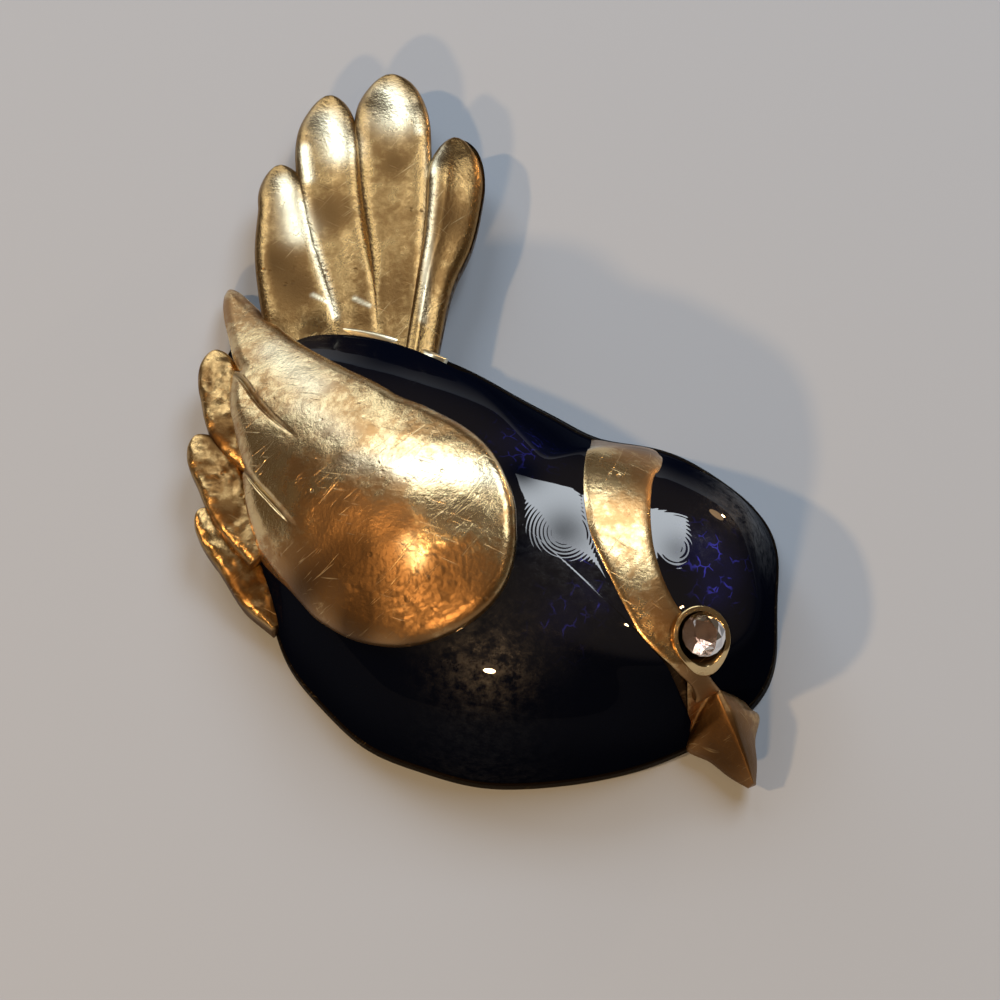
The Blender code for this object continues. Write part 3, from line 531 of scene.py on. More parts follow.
def enamel_layer(middle, lines):
    """Closed layer over a cell: rays from the middle, as long as the rim or the lines allow, on the dome's skin
    less a small sink and a rounded fall towards the edge, and back below at the floor's depth."""
    angle = np.arange(ENAMEL_SECTORS) / ENAMEL_SECTORS * math.tau
    rim_line = polar(radius_at(angle, RIM_HEIGHT + 2 * ENAMEL_OVER_RIM), angle)
    limit = ray_limit(middle, angle, np.vstack((rim_line, rim_line[:1])))
    for line in lines:
        limit = np.minimum(limit, ray_limit(middle, angle, line))
    share = np.sin(np.arange(1, ENAMEL_ROWS + 1) / ENAMEL_ROWS * math.pi / 2)[:, None]
    fall = MENISCUS_DROP * np.exp(-(limit * (1 - share) / MENISCUS_WIDTH) ** MENISCUS_POWER)
    top = on_skin(middle + polar(share * limit, angle), -ENAMEL_SINK - fall)
    top[..., 2] = np.maximum(top[..., 2], RIM_HEIGHT + 1.5 * ENAMEL_OVER_RIM)
    back_share = np.linspace(1, INNERMOST, ENAMEL_BACK_ROWS)[:, None]
    bottom = on_skin(middle + polar(back_share * limit, angle), -ENAMEL_FLOOR)
    bottom[..., 2] = np.maximum(bottom[..., 2], RIM_HEIGHT + ENAMEL_OVER_RIM)
    return np.concatenate((top, bottom))


def spots(points, places):
    """Sum of round soft spots on the plan: each is x, y, radius and strength."""
    total = np.zeros(points.shape[:-1])
    for x, y, radius, strength in places:
        total += strength * np.exp(-((points[..., 0] - x) ** 2 + (points[..., 1] - y) ** 2) / radius**2)
    return np.clip(total, 0, 1)


def streaks(points, lines):
    """Soft stripes on the plan: each is x, y and half width at its start, the same at its end, and strength."""
    total = np.zeros(points.shape[:-1])
    for x, y, width, end_x, end_y, end_width, strength in lines:
        start, run = np.array((x, y)), np.array((end_x - x, end_y - y))
        apart = points[..., :2] - start
        share = np.clip(apart @ run / (run @ run), 0, 1)
        distance = np.linalg.norm(apart - share[..., None] * run, axis=-1)
        total = np.maximum(total, strength * np.exp(-(distance / (width + (end_width - width) * share)) ** 2))
    return total


def lumps(points, size, seed):
    """Uneven field between -1 and 1: random values at the corners of a cubic lattice, smoothly blended."""
    table = np.random.default_rng(seed).uniform(-1, 1, LATTICE)
    place = np.asarray(points) / size
    cell = np.floor(place).astype(int)
    share = place - cell
    share = share * share * (3 - 2 * share)
    total = np.zeros(place.shape[:-1])
    for corner in np.ndindex(2, 2, 2):
        weight = np.prod(np.where(corner, share, 1 - share), axis=-1)
        total += weight * table[(cell + corner) @ LATTICE_STEPS % LATTICE]
    return total


def enamel_finish(name, ripple_middle, ripple):
    """Glossy navy enamel: a clear coat over near-black blue, painted blue glow along fissures, ripples, hairlines,
    dust.
    """
    finish, tree, shader = new_finish(name, {"Roughness": 0.34, "Coat Roughness": 0.02, "Coat IOR": 1.9})
    place = object_place(tree)
    glow = point_value(tree, "glow")
    bent = linked(tree, "ShaderNodeTexNoise", {"Vector": place, "Scale": BENDS, "Detail": 3.0}).outputs["Color"]
    bent = blended(tree, FISSURE_BEND, place, bent, "ADD")
    cells = linked(tree, "ShaderNodeTexVoronoi", {"Vector": bent, "Scale": FISSURES}, feature="DISTANCE_TO_EDGE")
    fissures = ramp(tree, cells.outputs["Distance"], (0.0, 1.0), (0.07, 0.0))
    broken = ramp(tree, noise(tree, place, FISSURED_PLACES), (0.48, 0.0), (0.60, 1.0))
    # Painted glow: where the glow spots lie, the base colour turns brighter blue in clouds and along fissures
    colour = blended(tree, times(tree, glow, noise(tree, place, GLOW_CLOUDS, detail=5.0)), ENAMEL_NAVY, ENAMEL_BLUE)
    colour = blended(tree, times(tree, times(tree, fissures, broken), glow), colour, FISSURE_BLUE)
    tree.links.new(colour, shader.inputs["Base Color"])
    dust = noise(tree, place, DUST, detail=6.0, roughness=0.75)
    dusty = times(tree, point_value(tree, "haze"), ramp(tree, dust, (0.36, 0.0), (0.76, 1.0)))
    tree.links.new(times(tree, dusty, DUST_SHEEN), shader.inputs["Specular IOR Level"])
    tree.links.new(point_value(tree, "gloss"), shader.inputs["Coat Weight"])
    shift = tuple(-MM * (own + crown) for own, crown in zip(ripple_middle, (*CROWN_AT, 0)))
    centred = linked(tree, "ShaderNodeMapping", {"Vector": place, "Location": shift})
    away = linked(tree, "ShaderNodeVectorMath", {0: centred.outputs["Vector"]}, operation="LENGTH").outputs["Value"]
    rings = linked(tree, "ShaderNodeMath", {0: times(tree, away, RIPPLE_TURNS)}, operation="SINE").outputs[0]
    near = ramp(tree, times(tree, away, RIPPLE_FADE), (0.35, 1.0), (0.75, 0.0))
    height = plus(tree, noise(tree, place, WAVES), times(tree, times(tree, rings, near), ripple))
    hairs = hairlines(tree, place, turns=(0.2, 0.1, 0.9), stretch=(150, 6500, 400), detail=1.0, faint=0.71, full=0.76)
    height = plus(tree, height, times(tree, hairs, HAIR_HEIGHT))
    for socket, shape, strength, distance in (("Normal", dust, 0.8, 0.00006), ("Coat Normal", height, 0.35, 0.00003)):
        bump = linked(tree, "ShaderNodeBump", {"Height": shape, "Strength": strength, "Distance": distance})
        tree.links.new(bump.outputs["Normal"], shader.inputs[socket])
    return finish


# Round spots on the plan: x, y, radius and strength. Dusty places, places where a blue glow is painted, and places
# that fingers have dulled
BODY_HAZE = ((-1.0, -7.2, 2.4, 0.55), (4.6, -3.6, 2.4, 0.28), (1.2, -2.6, 2.4, 0.22))
BODY_GLOW = ((3.7, -2.6, 0.5, 0.5), (4.2, -4.0, 0.6, 0.4), (4.9, -4.8, 0.4, 0.5), (0.8, 4.6, 1.5, 0.35),
             (2.8, -5.4, 1.2, 0.30))
FINGERED = ((2.9, -0.9, 1.3, 0.7), (0.7, 2.6, 1.1, 0.95), (0.6, -1.9, 0.9, 0.8), (9.0, -1.6, 1.0, 0.5),
            (-7.0, 12.6, 3.0, 0.95), (-2.0, 10.8, 3.2, 0.95), (1.5, 7.8, 2.6, 0.95), (3.4, 5.4, 1.8, 0.9),
            (9.8, 4.8, 2.2, 0.95), (15.2, -0.5, 1.6, 0.9), (14.8, -4.2, 2.0, 0.9))
# Middle of the ripple's rings from the crown, and its strength
BODY_RIPPLE = (2.9, -1.0, 11.2), 0.13


def glossy(rings):
    """Share of gloss by how level the dome is there, less where fingers have dulled it."""
    plan = rings[..., :2]
    level = (on_skin(plan, 1.0) - on_skin(plan))[..., 2]
    dull = DULL_GLOSS * smooth_step(level, UPRIGHT_TO, STEEP_FROM)
    return (dull + (1 - DULL_GLOSS) * smooth_step(level, DULL_TO, GLOSSY_FROM)) * (1 - spots(rings, FINGERED))


def enamel_piece(name, rings, finish, slot, glow, haze):
    """A layer of enamel with its spots of painted glow and of dust, which stands for the node that its slot is named
    after.
    """
    layer = shell(name, rings, {"glow": spots(rings, glow), "gloss": glossy(rings), "haze": spots(rings, haze)})
    dress(layer, finish, slot, slot)


tail_line = BODY_REACH * along(TAIL_LINE)
band_back = BODY_REACH * along(BAND_BACK_EDGE)
band_front = BODY_REACH * along(BAND_FRONT_EDGE)
enamel_piece("body_enamel_layer", enamel_layer((0.0, 0.0), (tail_line, band_back)),
             enamel_finish("navy_enamel_body", *BODY_RIPPLE), "body_enamel", BODY_GLOW, BODY_HAZE)

# Crown enamel. The same navy enamel in the cell of the head, between the neck band, the beak and the rim, flowed
# in and polished together with the body's.
CROWN_MIDDLE = (11.6, -1.6)
CROWN_HAZE = ((12.4, 1.6, 1.3, 0.5), (10.4, -1.0, 1.2, 0.3))
CROWN_GLOW = ((10.6, -1.4, 1.2, 1.0), (11.2, -2.4, 1.1, 1.0), (11.0, -3.8, 0.8, 0.9))
CROWN_RIPPLE = (8.8, -1.4, 9.6), 0.07
enamel_piece("crown_enamel_layer", sunk_at_eye(enamel_layer(CROWN_MIDDLE, (band_front,)), *CROWN_AT_EYE),
             enamel_finish("navy_enamel_crown", *CROWN_RIPPLE), "crown_enamel", CROWN_GLOW, CROWN_HAZE)

# Neck band. A flat strip of the casting left standing between the two enamel cells, from the back of the neck
# past the eye to the beak, dressed flush with the enamel and rounded along both edges.
BAND_PROUD = 0.07
BAND_ROOT = 0.45
BAND_LOWEST = 0.1
BAND_ROWS, STRIP_ACROSS = 260, 28
BAND_END = 13.6
BAND_STAINS = ((8.3, -3.6, 0.8, 0.6), (7.9, 2.4, 0.8, 0.4), (7.4, 6.6, 1.5, 0.9), (9.0, -5.2, 0.9, 0.5),
               (10.2, -7.6, 1.2, 0.7))


def strip_rings(left, right, proud, root, across=STRIP_ACROSS):
    """Closed rings of a strip: straight across between two edge lines, carried on the skin, higher in the middle
    by 1 - |t|^8, and back below at the root's depth."""
    t = np.sin(np.linspace(-1, 1, across) * math.pi / 2)[None, :, None]
    plan = (left[:, None] * (1 - t) + right[:, None] * (1 + t)) / 2
    rise = (proud + ENAMEL_SINK) * (1 - np.abs(t[..., 0]) ** 8) - ENAMEL_SINK * 2
    return np.concatenate((on_skin(plan, rise), on_skin(plan[:, ::-1], -root)), axis=1)


def inside_from(table, level):
    """Fractional row from which a line that comes in from outside lies where the dome is above a level."""
    where = np.linspace(0, 3, 301)
    line = BODY_REACH * curve_at(table, where)
    room = radius_at(np.arctan2(line[:, 1], line[:, 0]), level) - np.hypot(line[:, 0], line[:, 1])
    return where[np.argmax(room > 0)]


back_rows = np.linspace(inside_from(BAND_BACK_EDGE, RIM_HEIGHT), BAND_END, BAND_ROWS)
front_rows = np.linspace(inside_from(BAND_FRONT_EDGE, RIM_HEIGHT), BAND_END, BAND_ROWS)
band_rings = strip_rings(BODY_REACH * curve_at(BAND_BACK_EDGE, back_rows),
                         BODY_REACH * curve_at(BAND_FRONT_EDGE, front_rows), BAND_PROUD, BAND_ROOT)
band_rings = sunk_at_eye(band_rings, *BAND_AT_EYE)
band_rings[..., 2] = np.maximum(band_rings[..., 2], BAND_LOWEST)
cast_piece("neck_band", band_rings, gold("gold_neck_band", tarnish=0.54, roughness=0.22),
           stain=spots(band_rings, BAND_STAINS))

# Tail ledge. The bright upper edge of the cell's wall along the root of the tail, which ends in a small flat
# corner on the back.
LEDGE_PROUD, LEDGE_ROOT, LEDGE_LOWEST = 0.28, 0.9, 0.6
# x, y and half width along the ledge, as shares of BODY_REACH
LEDGE = np.array((
    (-1.040, 1.062, 0.006), (-0.946, 1.046, 0.012), (-0.806, 1.016, 0.013), (-0.645, 0.981, 0.014),
    (-0.490, 0.952, 0.016), (-0.350, 0.920, 0.020), (-0.290, 0.880, 0.034), (-0.240, 0.850, 0.012),
))
ledge_line = BODY_REACH * along(LEDGE, 20)
side = leftwards(unit_course(ledge_line[:, :2])) * ledge_line[:, 2:]
ledge_rings = strip_rings(ledge_line[:, :2] - side, ledge_line[:, :2] + side, LEDGE_PROUD, LEDGE_ROOT, 16)
ledge_rings[..., 2] = np.maximum(ledge_rings[..., 2], LEDGE_LOWEST)
# The ledge's gold is made pale and little tarnished, as a painted highlight along the edge
cast_piece("tail_ledge", ledge_rings, gold("gold_tail_ledge", tarnish=0.10, roughness=0.34, bright=GOLD_PALE))

# Tail. Four cast feathers that spread from the ledge, each crowned along a ridge, with valleys between them and
# a rounded tip. They are part of the casting, and highlights are painted on their tips most.
TAIL_LENGTH = 18.6
TAIL_THICKNESS = 1.4
TAIL_CROWN = 0.55
TAIL_ROOT_CROWN = 0.5
TAIL_DISH = 0.16
TAIL_DROOP = 0.40
TAIL_ROOT_LEVEL, TAIL_TIP_LEVEL = 3.7, 3.3
TAIL_MIDDLE = BODY_REACH * np.array((-0.581, 0.942))
TAIL_STEPS, TIP_STEPS, FEATHER_ACROSS = 34, 44, 44
# Across a feather, as shares of its half width: the width of the dish, and where the rib of a slanted one is
DISH_WIDTH, RIB_AT = 0.55, 0.35
# Where the edges are rubbed and lightened, partly as painted highlight, across a feather and along its tip; how
# much painted shade the valley at the edge and the flank get
RUBBED_LIT_FROM, RUBBED_LIT_FULL, TIP_RUBBED_LIT_FROM, TIP_RUBBED_LIT_FULL = 0.45, 0.85, 0.1, 0.8
VALLEY_FROM, VALLEY_SHADE, FLANK_SHADE = 0.93, 0.5, 0.7
# The flank of a feather: how far down, as a share of its thickness, and how far out, as a share of its half width
FLANK_DOWN = np.array((0.25, 0.6, 0.9, 1.0))
FLANK_OUT = np.array((1.0, 1.0, 0.985, 0.93))
# Name, slant of the face on the right of the rib, and then across, along and half width from the middle of the
# tail line as shares of TAIL_LENGTH, root to tip
TAIL_FEATHERS = (
    ("tail_feather_1", 0.0, ((-0.150, -0.020, 0.124), (-0.184, 0.090, 0.122), (-0.236, 0.312, 0.106),
                              (-0.258, 0.505, 0.082), (-0.282, 0.672, 0.006))),
    ("tail_feather_2", 0.0, ((0.000, -0.080, 0.084), (-0.020, 0.160, 0.086), (-0.084, 0.420, 0.102),
                             (-0.118, 0.690, 0.108), (-0.124, 0.956, 0.006))),
    ("tail_feather_3", 0.0, ((0.125, -0.110, 0.066), (0.122, 0.290, 0.092), (0.110, 0.560, 0.120),
                             (0.096, 0.790, 0.128), (0.078, 1.044, 0.006))),
    ("tail_feather_4", 0.42, ((0.196, -0.130, 0.048), (0.244, 0.200, 0.058), (0.290, 0.390, 0.080),
                              (0.312, 0.590, 0.094), (0.310, 0.782, 0.006))),
)
TAIL_STAINS = ((-14.3, 19.8, 1.6, 0.7), (-10.9, 23.2, 1.6, 0.5), (-7.0, 26.8, 1.2, 0.5),
               (-3.4, 22.8, 1.6, 0.6), (-12.5, 17.9, 1.6, 0.6), (-7.7, 17.9, 1.8, 0.4))


def within_wall(points):
    """Points that would reach through the wall into the hollow, raised so that they stay inside the wall."""
    lowest = skin(points[..., 0], points[..., 1]) - ENAMEL_DEPTH - 0.9 * METAL_WALL
    points[..., 2] = np.maximum(points[..., 2], lowest)
    return points


def feather_rings(rows, crown, thickness, slant=0.0, root_crown=1.0, dish=0.0, droop=0.0):
    """Closed rings of a feather carried along a curve, with its painted shade, and its rubbed edges that are
    lightened partly as painted highlight, as point values. Across it the top is crown * (1 - |t|^4)^0.6 less a
    shallow dish in the middle, and its rims stay high, or it falls off by a slant from a rib on the left. The half
    width closes at the tip as (1 - s^2.2)^0.5, where the top droops as well."""
    table = np.array(rows, float)
    last = len(table) - 2
    towards_tip = 1 - (1 - np.arange(1, TIP_STEPS + 1) / TIP_STEPS) ** 2
    towards_tip[-1] = 1
    where = np.concatenate((np.arange(last * TAIL_STEPS + 1) / TAIL_STEPS, last + towards_tip))
    line = curve_at(table[:, :3], where)
    whole = curve_at(table[:-1, 3:], np.minimum(where, last))[:, 0]
    tip = np.clip(where - last, 0, 1)
    half = whole * np.clip(1 - tip**2.2, 0, None) ** 0.5 + table[-1, 3] * 0.2
    across_it = leftwards(unit_course(line[:, :2]))[..., None]
    t = np.sin(np.linspace(-1, 1, FEATHER_ACROSS) * math.pi / 2)
    form = np.clip(1 - t**4, 0, None) ** 0.6
    hollow = dish * np.exp(-(t / DISH_WIDTH) ** 2) * (half / half.max())[:, None]
    share = np.clip(half / half.max(), 0, 1) ** 0.25
    rooted = root_crown + (1 - root_crown) * smooth_step(where / (last + 1), 0, 0.3)
    top = line[:, 2:] + crown * (share * rooted)[:, None] * form - hollow
    top = top - slant * half[:, None] * (np.clip(RIB_AT - t, 0, None) - 0.5 * (slant > 0))
    top = top - droop * (smooth_step(where, last - 0.1, last + 1) ** 1.5)[:, None]
    down = line[:, 2:] - thickness * FLANK_DOWN
    reach = [half[:, None] * across for across in (t, FLANK_OUT, -FLANK_OUT[::-1])]
    plan = (line[:, :2, None] + across_it * np.concatenate(reach, axis=1)[:, None]).transpose(0, 2, 1)
    z = np.concatenate((top, down, down[:, ::-1]), axis=1)
    # Painted shade in the valley at each edge and on the flank; edges and tip lightened as rubbed wear and partly as
    # painted highlight
    edge = np.concatenate((smooth_step(np.abs(t), VALLEY_FROM, 1.0) * VALLEY_SHADE, np.full(8, FLANK_SHADE)))
    rubbed_and_lit = np.concatenate((smooth_step(np.abs(t), RUBBED_LIT_FROM, RUBBED_LIT_FULL), np.zeros(8)))
    rubbed_and_lit = np.maximum(rubbed_and_lit, smooth_step(where, last + TIP_RUBBED_LIT_FROM, last + TIP_RUBBED_LIT_FULL)[:, None])
    return within_wall(np.concatenate((plan, z[..., None]), axis=2)), edge * np.ones(z.shape), rubbed_and_lit


# How much less stain there is where a feather's edges are rubbed, which lightens them partly as painted highlight
RUBBED_LIT_LESS = 0.3
# Stripes of painted highlight: x, y and half width at the start, the same at the end, and strength
TAIL_HIGHLIGHTS = (
    (-7.7, 32.3, 0.8, -7.0, 30.7, 1.3, 1.0),
    (-6.0, 30.7, 0.4, -5.6, 29.3, 0.3, 0.6),
    (-11.4, 30.2, 0.8, -10.4, 28.0, 1.0, 1.0),
    (-12.7, 27.9, 0.4, -12.3, 25.7, 0.3, 0.8),
    (-13.9, 25.7, 0.5, -12.7, 21.9, 0.9, 0.8),
    (-12.7, 23.9, 0.35, -10.3, 16.0, 0.2, 0.8),
    (-4.4, 28.0, 0.5, -4.7, 26.0, 0.3, 0.9),
    (-4.6, 26.8, 0.3, -5.1, 15.7, 0.22, 0.5),
    (-9.2, 17.2, 0.12, -8.3, 16.7, 0.1, 0.9),
    (-11.7, 17.4, 0.12, -10.8, 16.9, 0.1, 0.9),
)
TAIL_UNEVEN, TAIL_LUMP = 0.010, 0.7
# The tips are tilted up towards +X, by a share of the distance, inside the first radius and less up to the second
TIP_TILT, TIP_WHOLE, TIP_END = 0.13, 1.4, 3.4
tail_gold = gold("gold_tail", tarnish=0.54, scratches=0.9, grain=1.8, roughness=0.25, bright=(0.34, 0.215, 0.085),
                 warm=(0.20, 0.110, 0.038))
for name, slant, rows in TAIL_FEATHERS:
    table = np.array(rows)
    level = TAIL_ROOT_LEVEL + (TAIL_TIP_LEVEL - TAIL_ROOT_LEVEL) * table[:, 1]
    table = np.column_stack((TAIL_MIDDLE + TAIL_LENGTH * table[:, :2], level, TAIL_LENGTH * table[:, 2]))
    rings, recess, rubbed_and_lit = feather_rings(table, TAIL_CROWN, TAIL_THICKNESS, slant, TAIL_ROOT_CROWN, TAIL_DISH,
                                          TAIL_DROOP)
    rings[..., 2] += TAIL_UNEVEN * lumps(rings, TAIL_LUMP, 3)
    from_tip = rings[..., :2] - table[-1, :2]
    near_tip = 1 - smooth_step(np.hypot(from_tip[..., 0], from_tip[..., 1]), TIP_WHOLE, TIP_END)
    rings[..., 2] += TIP_TILT * near_tip * from_tip[..., 0]
    # Painted shade in the valleys and on the flanks, painted highlights in stripes, and stains lightened on the
    # rubbed edges
    cast_piece(name, rings, tail_gold, recess=recess, polish=streaks(rings, TAIL_HIGHLIGHTS),
               stain=spots(rings, TAIL_STAINS) * (1 - rubbed_and_lit) - RUBBED_LIT_LESS * rubbed_and_lit)

# Raised wing. The big drop-shaped wing of the casting, smooth and rounded over its edge, with two cut lines
# that part it into three feather tips. It stands off the body towards the tips.
WING_REACH = 7.0
WING_RAISE = 0.9
WING_EDGE_SHARE = 0.30
WING_ROUNDING = 0.75
WING_THICKNESS = 1.6
WING_ROOTING = 1.3
WING_FOOT_MARGIN = 0.4
WING_MIDDLE = BODY_REACH * np.array((-0.426, -0.023))
WING_SECTORS, WING_ROWS, WING_BACK_ROWS = 640, 84, 14
# Outline: direction from the wing's middle in degrees, and reach as a share of WING_REACH
WING_OUTLINE = np.array((
    (3.8, 0.995), (22.1, 0.982), (44.4, 1.003), (62.2, 1.032), (75, 1.095), (86.3, 1.187), (95, 1.370),
    (102.7, 1.590), (108, 1.840), (112.1, 2.134), (115.0, 2.560), (116.2, 2.880), (117.1, 3.120),
    (118.0, 3.200), (119.0, 3.170), (120.1, 3.080), (121.8, 2.870), (123.5, 2.616), (125.7, 2.350),
    (126.6, 2.180), (127.8, 2.235), (130.4, 2.123), (134.3, 1.943), (137.9, 1.759), (141.6, 1.606),
    (146.0, 1.447), (148.9, 1.410), (154.2, 1.318), (161.5, 1.210), (168.5, 1.117), (173.1, 1.069),
    (181.3, 0.957), (193.4, 0.841), (206.9, 0.782), (222, 0.765), (237.8, 0.760), (261.1, 0.801),
    (282.5, 0.878), (296.7, 0.933), (310.7, 0.993), (323.7, 1.035), (335.2, 1.043), (350.1, 1.015),
))
# The cut lines: depth and half width, where they begin to fade, and the step down to the feather behind each
GROOVE_DEPTH, GROOVE_WIDTH, GROOVE_FADES = 0.30, 0.11, 0.55
OVERLAP_STEP, OVERLAP_WIDTH = 0.14, 0.8
# Painted shade in the cut lines, its width as a share of theirs, and painted shade on the wing's underside
GROOVE_SHADE, GROOVE_SHADE_WIDTH, WING_BACK_SHADE = 0.75, 0.8, 0.6
# Stripes of painted highlight, spots and stains are in millimetres on the plan, as on the tail
WING_HIGHLIGHTS = (
    (-13.9, 13.0, 0.8, -11.0, 9.2, 1.0, 0.55), (-11.6, 8.0, 0.8, -9.2, 5.2, 0.8, 0.35),
    (-5.8, 2.7, 0.7, -0.6, 1.8, 0.8, 0.9), (-8.6, 3.6, 0.7, -5.8, 2.7, 0.7, 0.5),
    (-5.3, -1.7, 0.5, -4.8, -2.6, 0.5, 0.7),
)
# The rough patch that glitters
WING_ROUGH = ((-4.6, -4.6, 2.4, 1.0), (-8.4, -3.4, 1.2, 0.4))
WING_UNEVEN, WING_LUMP = 0.022, 0.8
PATCH_UNEVEN, PATCH_LUMP = 0.075, 0.36
# The two cut lines from their outer ends inwards, as shares of BODY_REACH
WING_GROOVES = (
    ((-1.065, 0.800), (-0.993, 0.703), (-0.930, 0.592), (-0.858, 0.490), (-0.745, 0.357)),
    ((-1.010, 0.390), (-0.961, 0.315), (-0.912, 0.241), (-0.843, 0.152), (-0.781, 0.072), (-0.743, 0.028)),
)
WING_STAINS = ((-11.4, -2.6, 1.6, 0.9), (-8.3, -5.2, 1.4, 0.9), (-5.0, -6.6, 1.1, 0.7),
               (-8.6, -1.4, 2.0, 0.9), (-7.0, -3.6, 2.2, 0.6), (-3.0, -3.6, 1.9, 0.8), (-9.2, 1.2, 1.0, 0.5),
               (-5.6, -0.6, 1.2, 0.4))


def evenly(line, count):
    """Points at equal steps of length along a closed line."""
    closed = np.vstack((line, line[:1]))
    length = np.concatenate(((0,), np.cumsum(np.linalg.norm(np.diff(closed, axis=0), axis=1))))
    where = np.arange(count) / count * length[-1]
    return np.stack((np.interp(where, length, closed[:, 0]), np.interp(where, length, closed[:, 1])), axis=1)


def line_distance(points, line):
    """Distance of each point to the nearest point of a line, that point's share of the line, and the side."""
    apart = points[..., None, :] - line
    squares = np.einsum("...k,...k->...", apart, apart)
    nearest = np.argmin(squares, axis=-1)
    course = np.gradient(line, axis=0)[nearest]
    offset = np.take_along_axis(apart, nearest[..., None, None], axis=-2)[..., 0, :]
    side = course[..., 0] * offset[..., 1] - course[..., 1] * offset[..., 0]
    return np.sqrt(np.min(squares, axis=-1)), nearest / (len(line) - 1), side


whole_turn = np.array((360, 0))
outline_rows = np.vstack((WING_OUTLINE[-1] - whole_turn, WING_OUTLINE, WING_OUTLINE[:2] + whole_turn))
outline = along(outline_rows, 16)[16:-32]
wing_edge = evenly(WING_MIDDLE + WING_REACH * polar(outline[:, 1], np.radians(outline[:, 0])), WING_SECTORS)
wing_shares = 1 - (1 - np.arange(1, WING_ROWS + 1) / WING_ROWS) ** 1.7
wing_plan = WING_MIDDLE + wing_shares[:, None, None] * (wing_edge - WING_MIDDLE)
edge_distance = np.stack([line_distance(ring, np.vstack((wing_edge, wing_edge[:1])))[0] for ring in wing_plan])
inward = np.clip(edge_distance / WING_ROUNDING, 0, 1)
rise = WING_RAISE * (WING_EDGE_SHARE + (1 - WING_EDGE_SHARE) * np.sqrt(1 - (1 - inward) ** 2))
wing_recess = np.zeros(rise.shape)
for groove in WING_GROOVES:
    line = BODY_REACH * along(np.array(groove), 30)
    found = [line_distance(ring, line) for ring in wing_plan]
    distance, share, side = (np.stack([part[k] for part in found]) for k in range(3))
    fade = 1 - smooth_step(share, GROOVE_FADES, 1.0)
    cut = np.exp(-(distance / GROOVE_WIDTH) ** 2)
    rise -= GROOVE_DEPTH * fade * cut
    lower = smooth_step(-side, -0.002, 0.004) * np.exp(-(distance / OVERLAP_WIDTH) ** 2)
    rise -= OVERLAP_STEP * fade * lower * (share < 0.999)
    # Painted shade along the cut line
    shade_share = GROOVE_SHADE * fade * np.exp(-(distance / (GROOVE_WIDTH * GROOVE_SHADE_WIDTH)) ** 2)
    wing_recess = np.maximum(wing_recess, shade_share)
wing_top = skin(wing_plan[..., 0], wing_plan[..., 1], WING_LIFT) + rise
wing_rough = spots(wing_plan, WING_ROUGH)
flat_place = np.concatenate((wing_plan, np.zeros(wing_top.shape + (1,))), axis=2)
crumbs = np.abs(lumps(flat_place, PATCH_LUMP, 7)) + 0.5 * np.abs(lumps(flat_place, PATCH_LUMP / 2, 8))
wing_top += WING_UNEVEN * lumps(flat_place, WING_LUMP, 5) + PATCH_UNEVEN * wing_rough * crumbs
back_shares = np.linspace(1, 0.04, WING_BACK_ROWS)[:, None, None]
back_plan = WING_MIDDLE + back_shares * (wing_edge - WING_MIDDLE)
x, y = back_plan[..., 0], back_plan[..., 1]
lowest = skin(x, y, WING_LIFT) + WING_RAISE * WING_EDGE_SHARE - WING_THICKNESS
over_body = np.hypot(x, y) < body_reach(np.arctan2(y, x)) + WING_FOOT_MARGIN
lowest = np.where(over_body, np.minimum(skin(x, y) - WING_ROOTING, lowest), lowest)
wing_bottom = np.clip(lowest, RIM_HEIGHT / 2, None)
wing_rings = np.concatenate((np.concatenate((wing_plan, wing_top[..., None]), axis=2),
                             np.concatenate((back_plan, wing_bottom[..., None]), axis=2)))
# Painted shade over the wing's underside
wing_recess = np.concatenate((wing_recess, np.full(wing_bottom.shape, WING_BACK_SHADE)))
cast_piece("raised_wing", wing_rings, gold("gold_raised_wing", tarnish=0.56, scratches=1.4, grain=1.4),
           recess=wing_recess, stain=spots(wing_rings, WING_STAINS), polish=streaks(wing_rings, WING_HIGHLIGHTS))

# Under-wing feathers. Three short feathers of the casting that look out below the raised wing on the left,
# rough from the mould and polished only on top, where their rubbed edges are also lightened as painted highlight.
UNDER_CROWN = 0.45
UNDER_THICKNESS = 1.3
# x, y, level of the top edge and half width from root to tip, as shares of BODY_REACH
UNDER_FEATHERS = (
    ("under_feather_1", ((-0.900, 0.400, 0.240, 0.075), (-1.030, 0.560, 0.235, 0.090),
                         (-1.085, 0.720, 0.225, 0.085), (-1.128, 0.900, 0.215, 0.010))),
    ("under_feather_2", ((-0.880, 0.060, 0.230, 0.080), (-1.010, 0.230, 0.225, 0.090),
                         (-1.095, 0.400, 0.215, 0.085), (-1.176, 0.542, 0.205, 0.010))),
    ("under_feather_3", ((-0.850, -0.190, 0.112, 0.020), (-0.915, -0.070, 0.135, 0.075),
                         (-1.020, 0.100, 0.170, 0.085), (-1.148, 0.238, 0.200, 0.010))),
)
UNDER_STAINS = ((-17.0, 8.0, 0.9, 0.8), (-16.2, 3.2, 0.8, 0.7), (-15.6, -0.6, 0.9, 0.6))
UNDER_UNEVEN, UNDER_LUMP = 0.075, 0.48
under_gold = gold("gold_under_feathers", tarnish=0.62, grain=1.8, roughness=0.27, bright=(0.46, 0.30, 0.125),
                  warm=(0.20, 0.105, 0.035))
for name, rows in UNDER_FEATHERS:
    rings, recess, rubbed_and_lit = feather_rings(BODY_REACH * np.array(rows), UNDER_CROWN, UNDER_THICKNESS)
    rings[..., 2] += UNDER_UNEVEN * lumps(rings, UNDER_LUMP, 11)
    # Painted shade in the valleys and on the flanks; stains lightened on the rubbed edges and tip, partly as painted
    # highlight
    cast_piece(name, rings, under_gold, recess=recess, stain=spots(rings, UNDER_STAINS) - RUBBED_LIT_LESS * rubbed_and_lit)

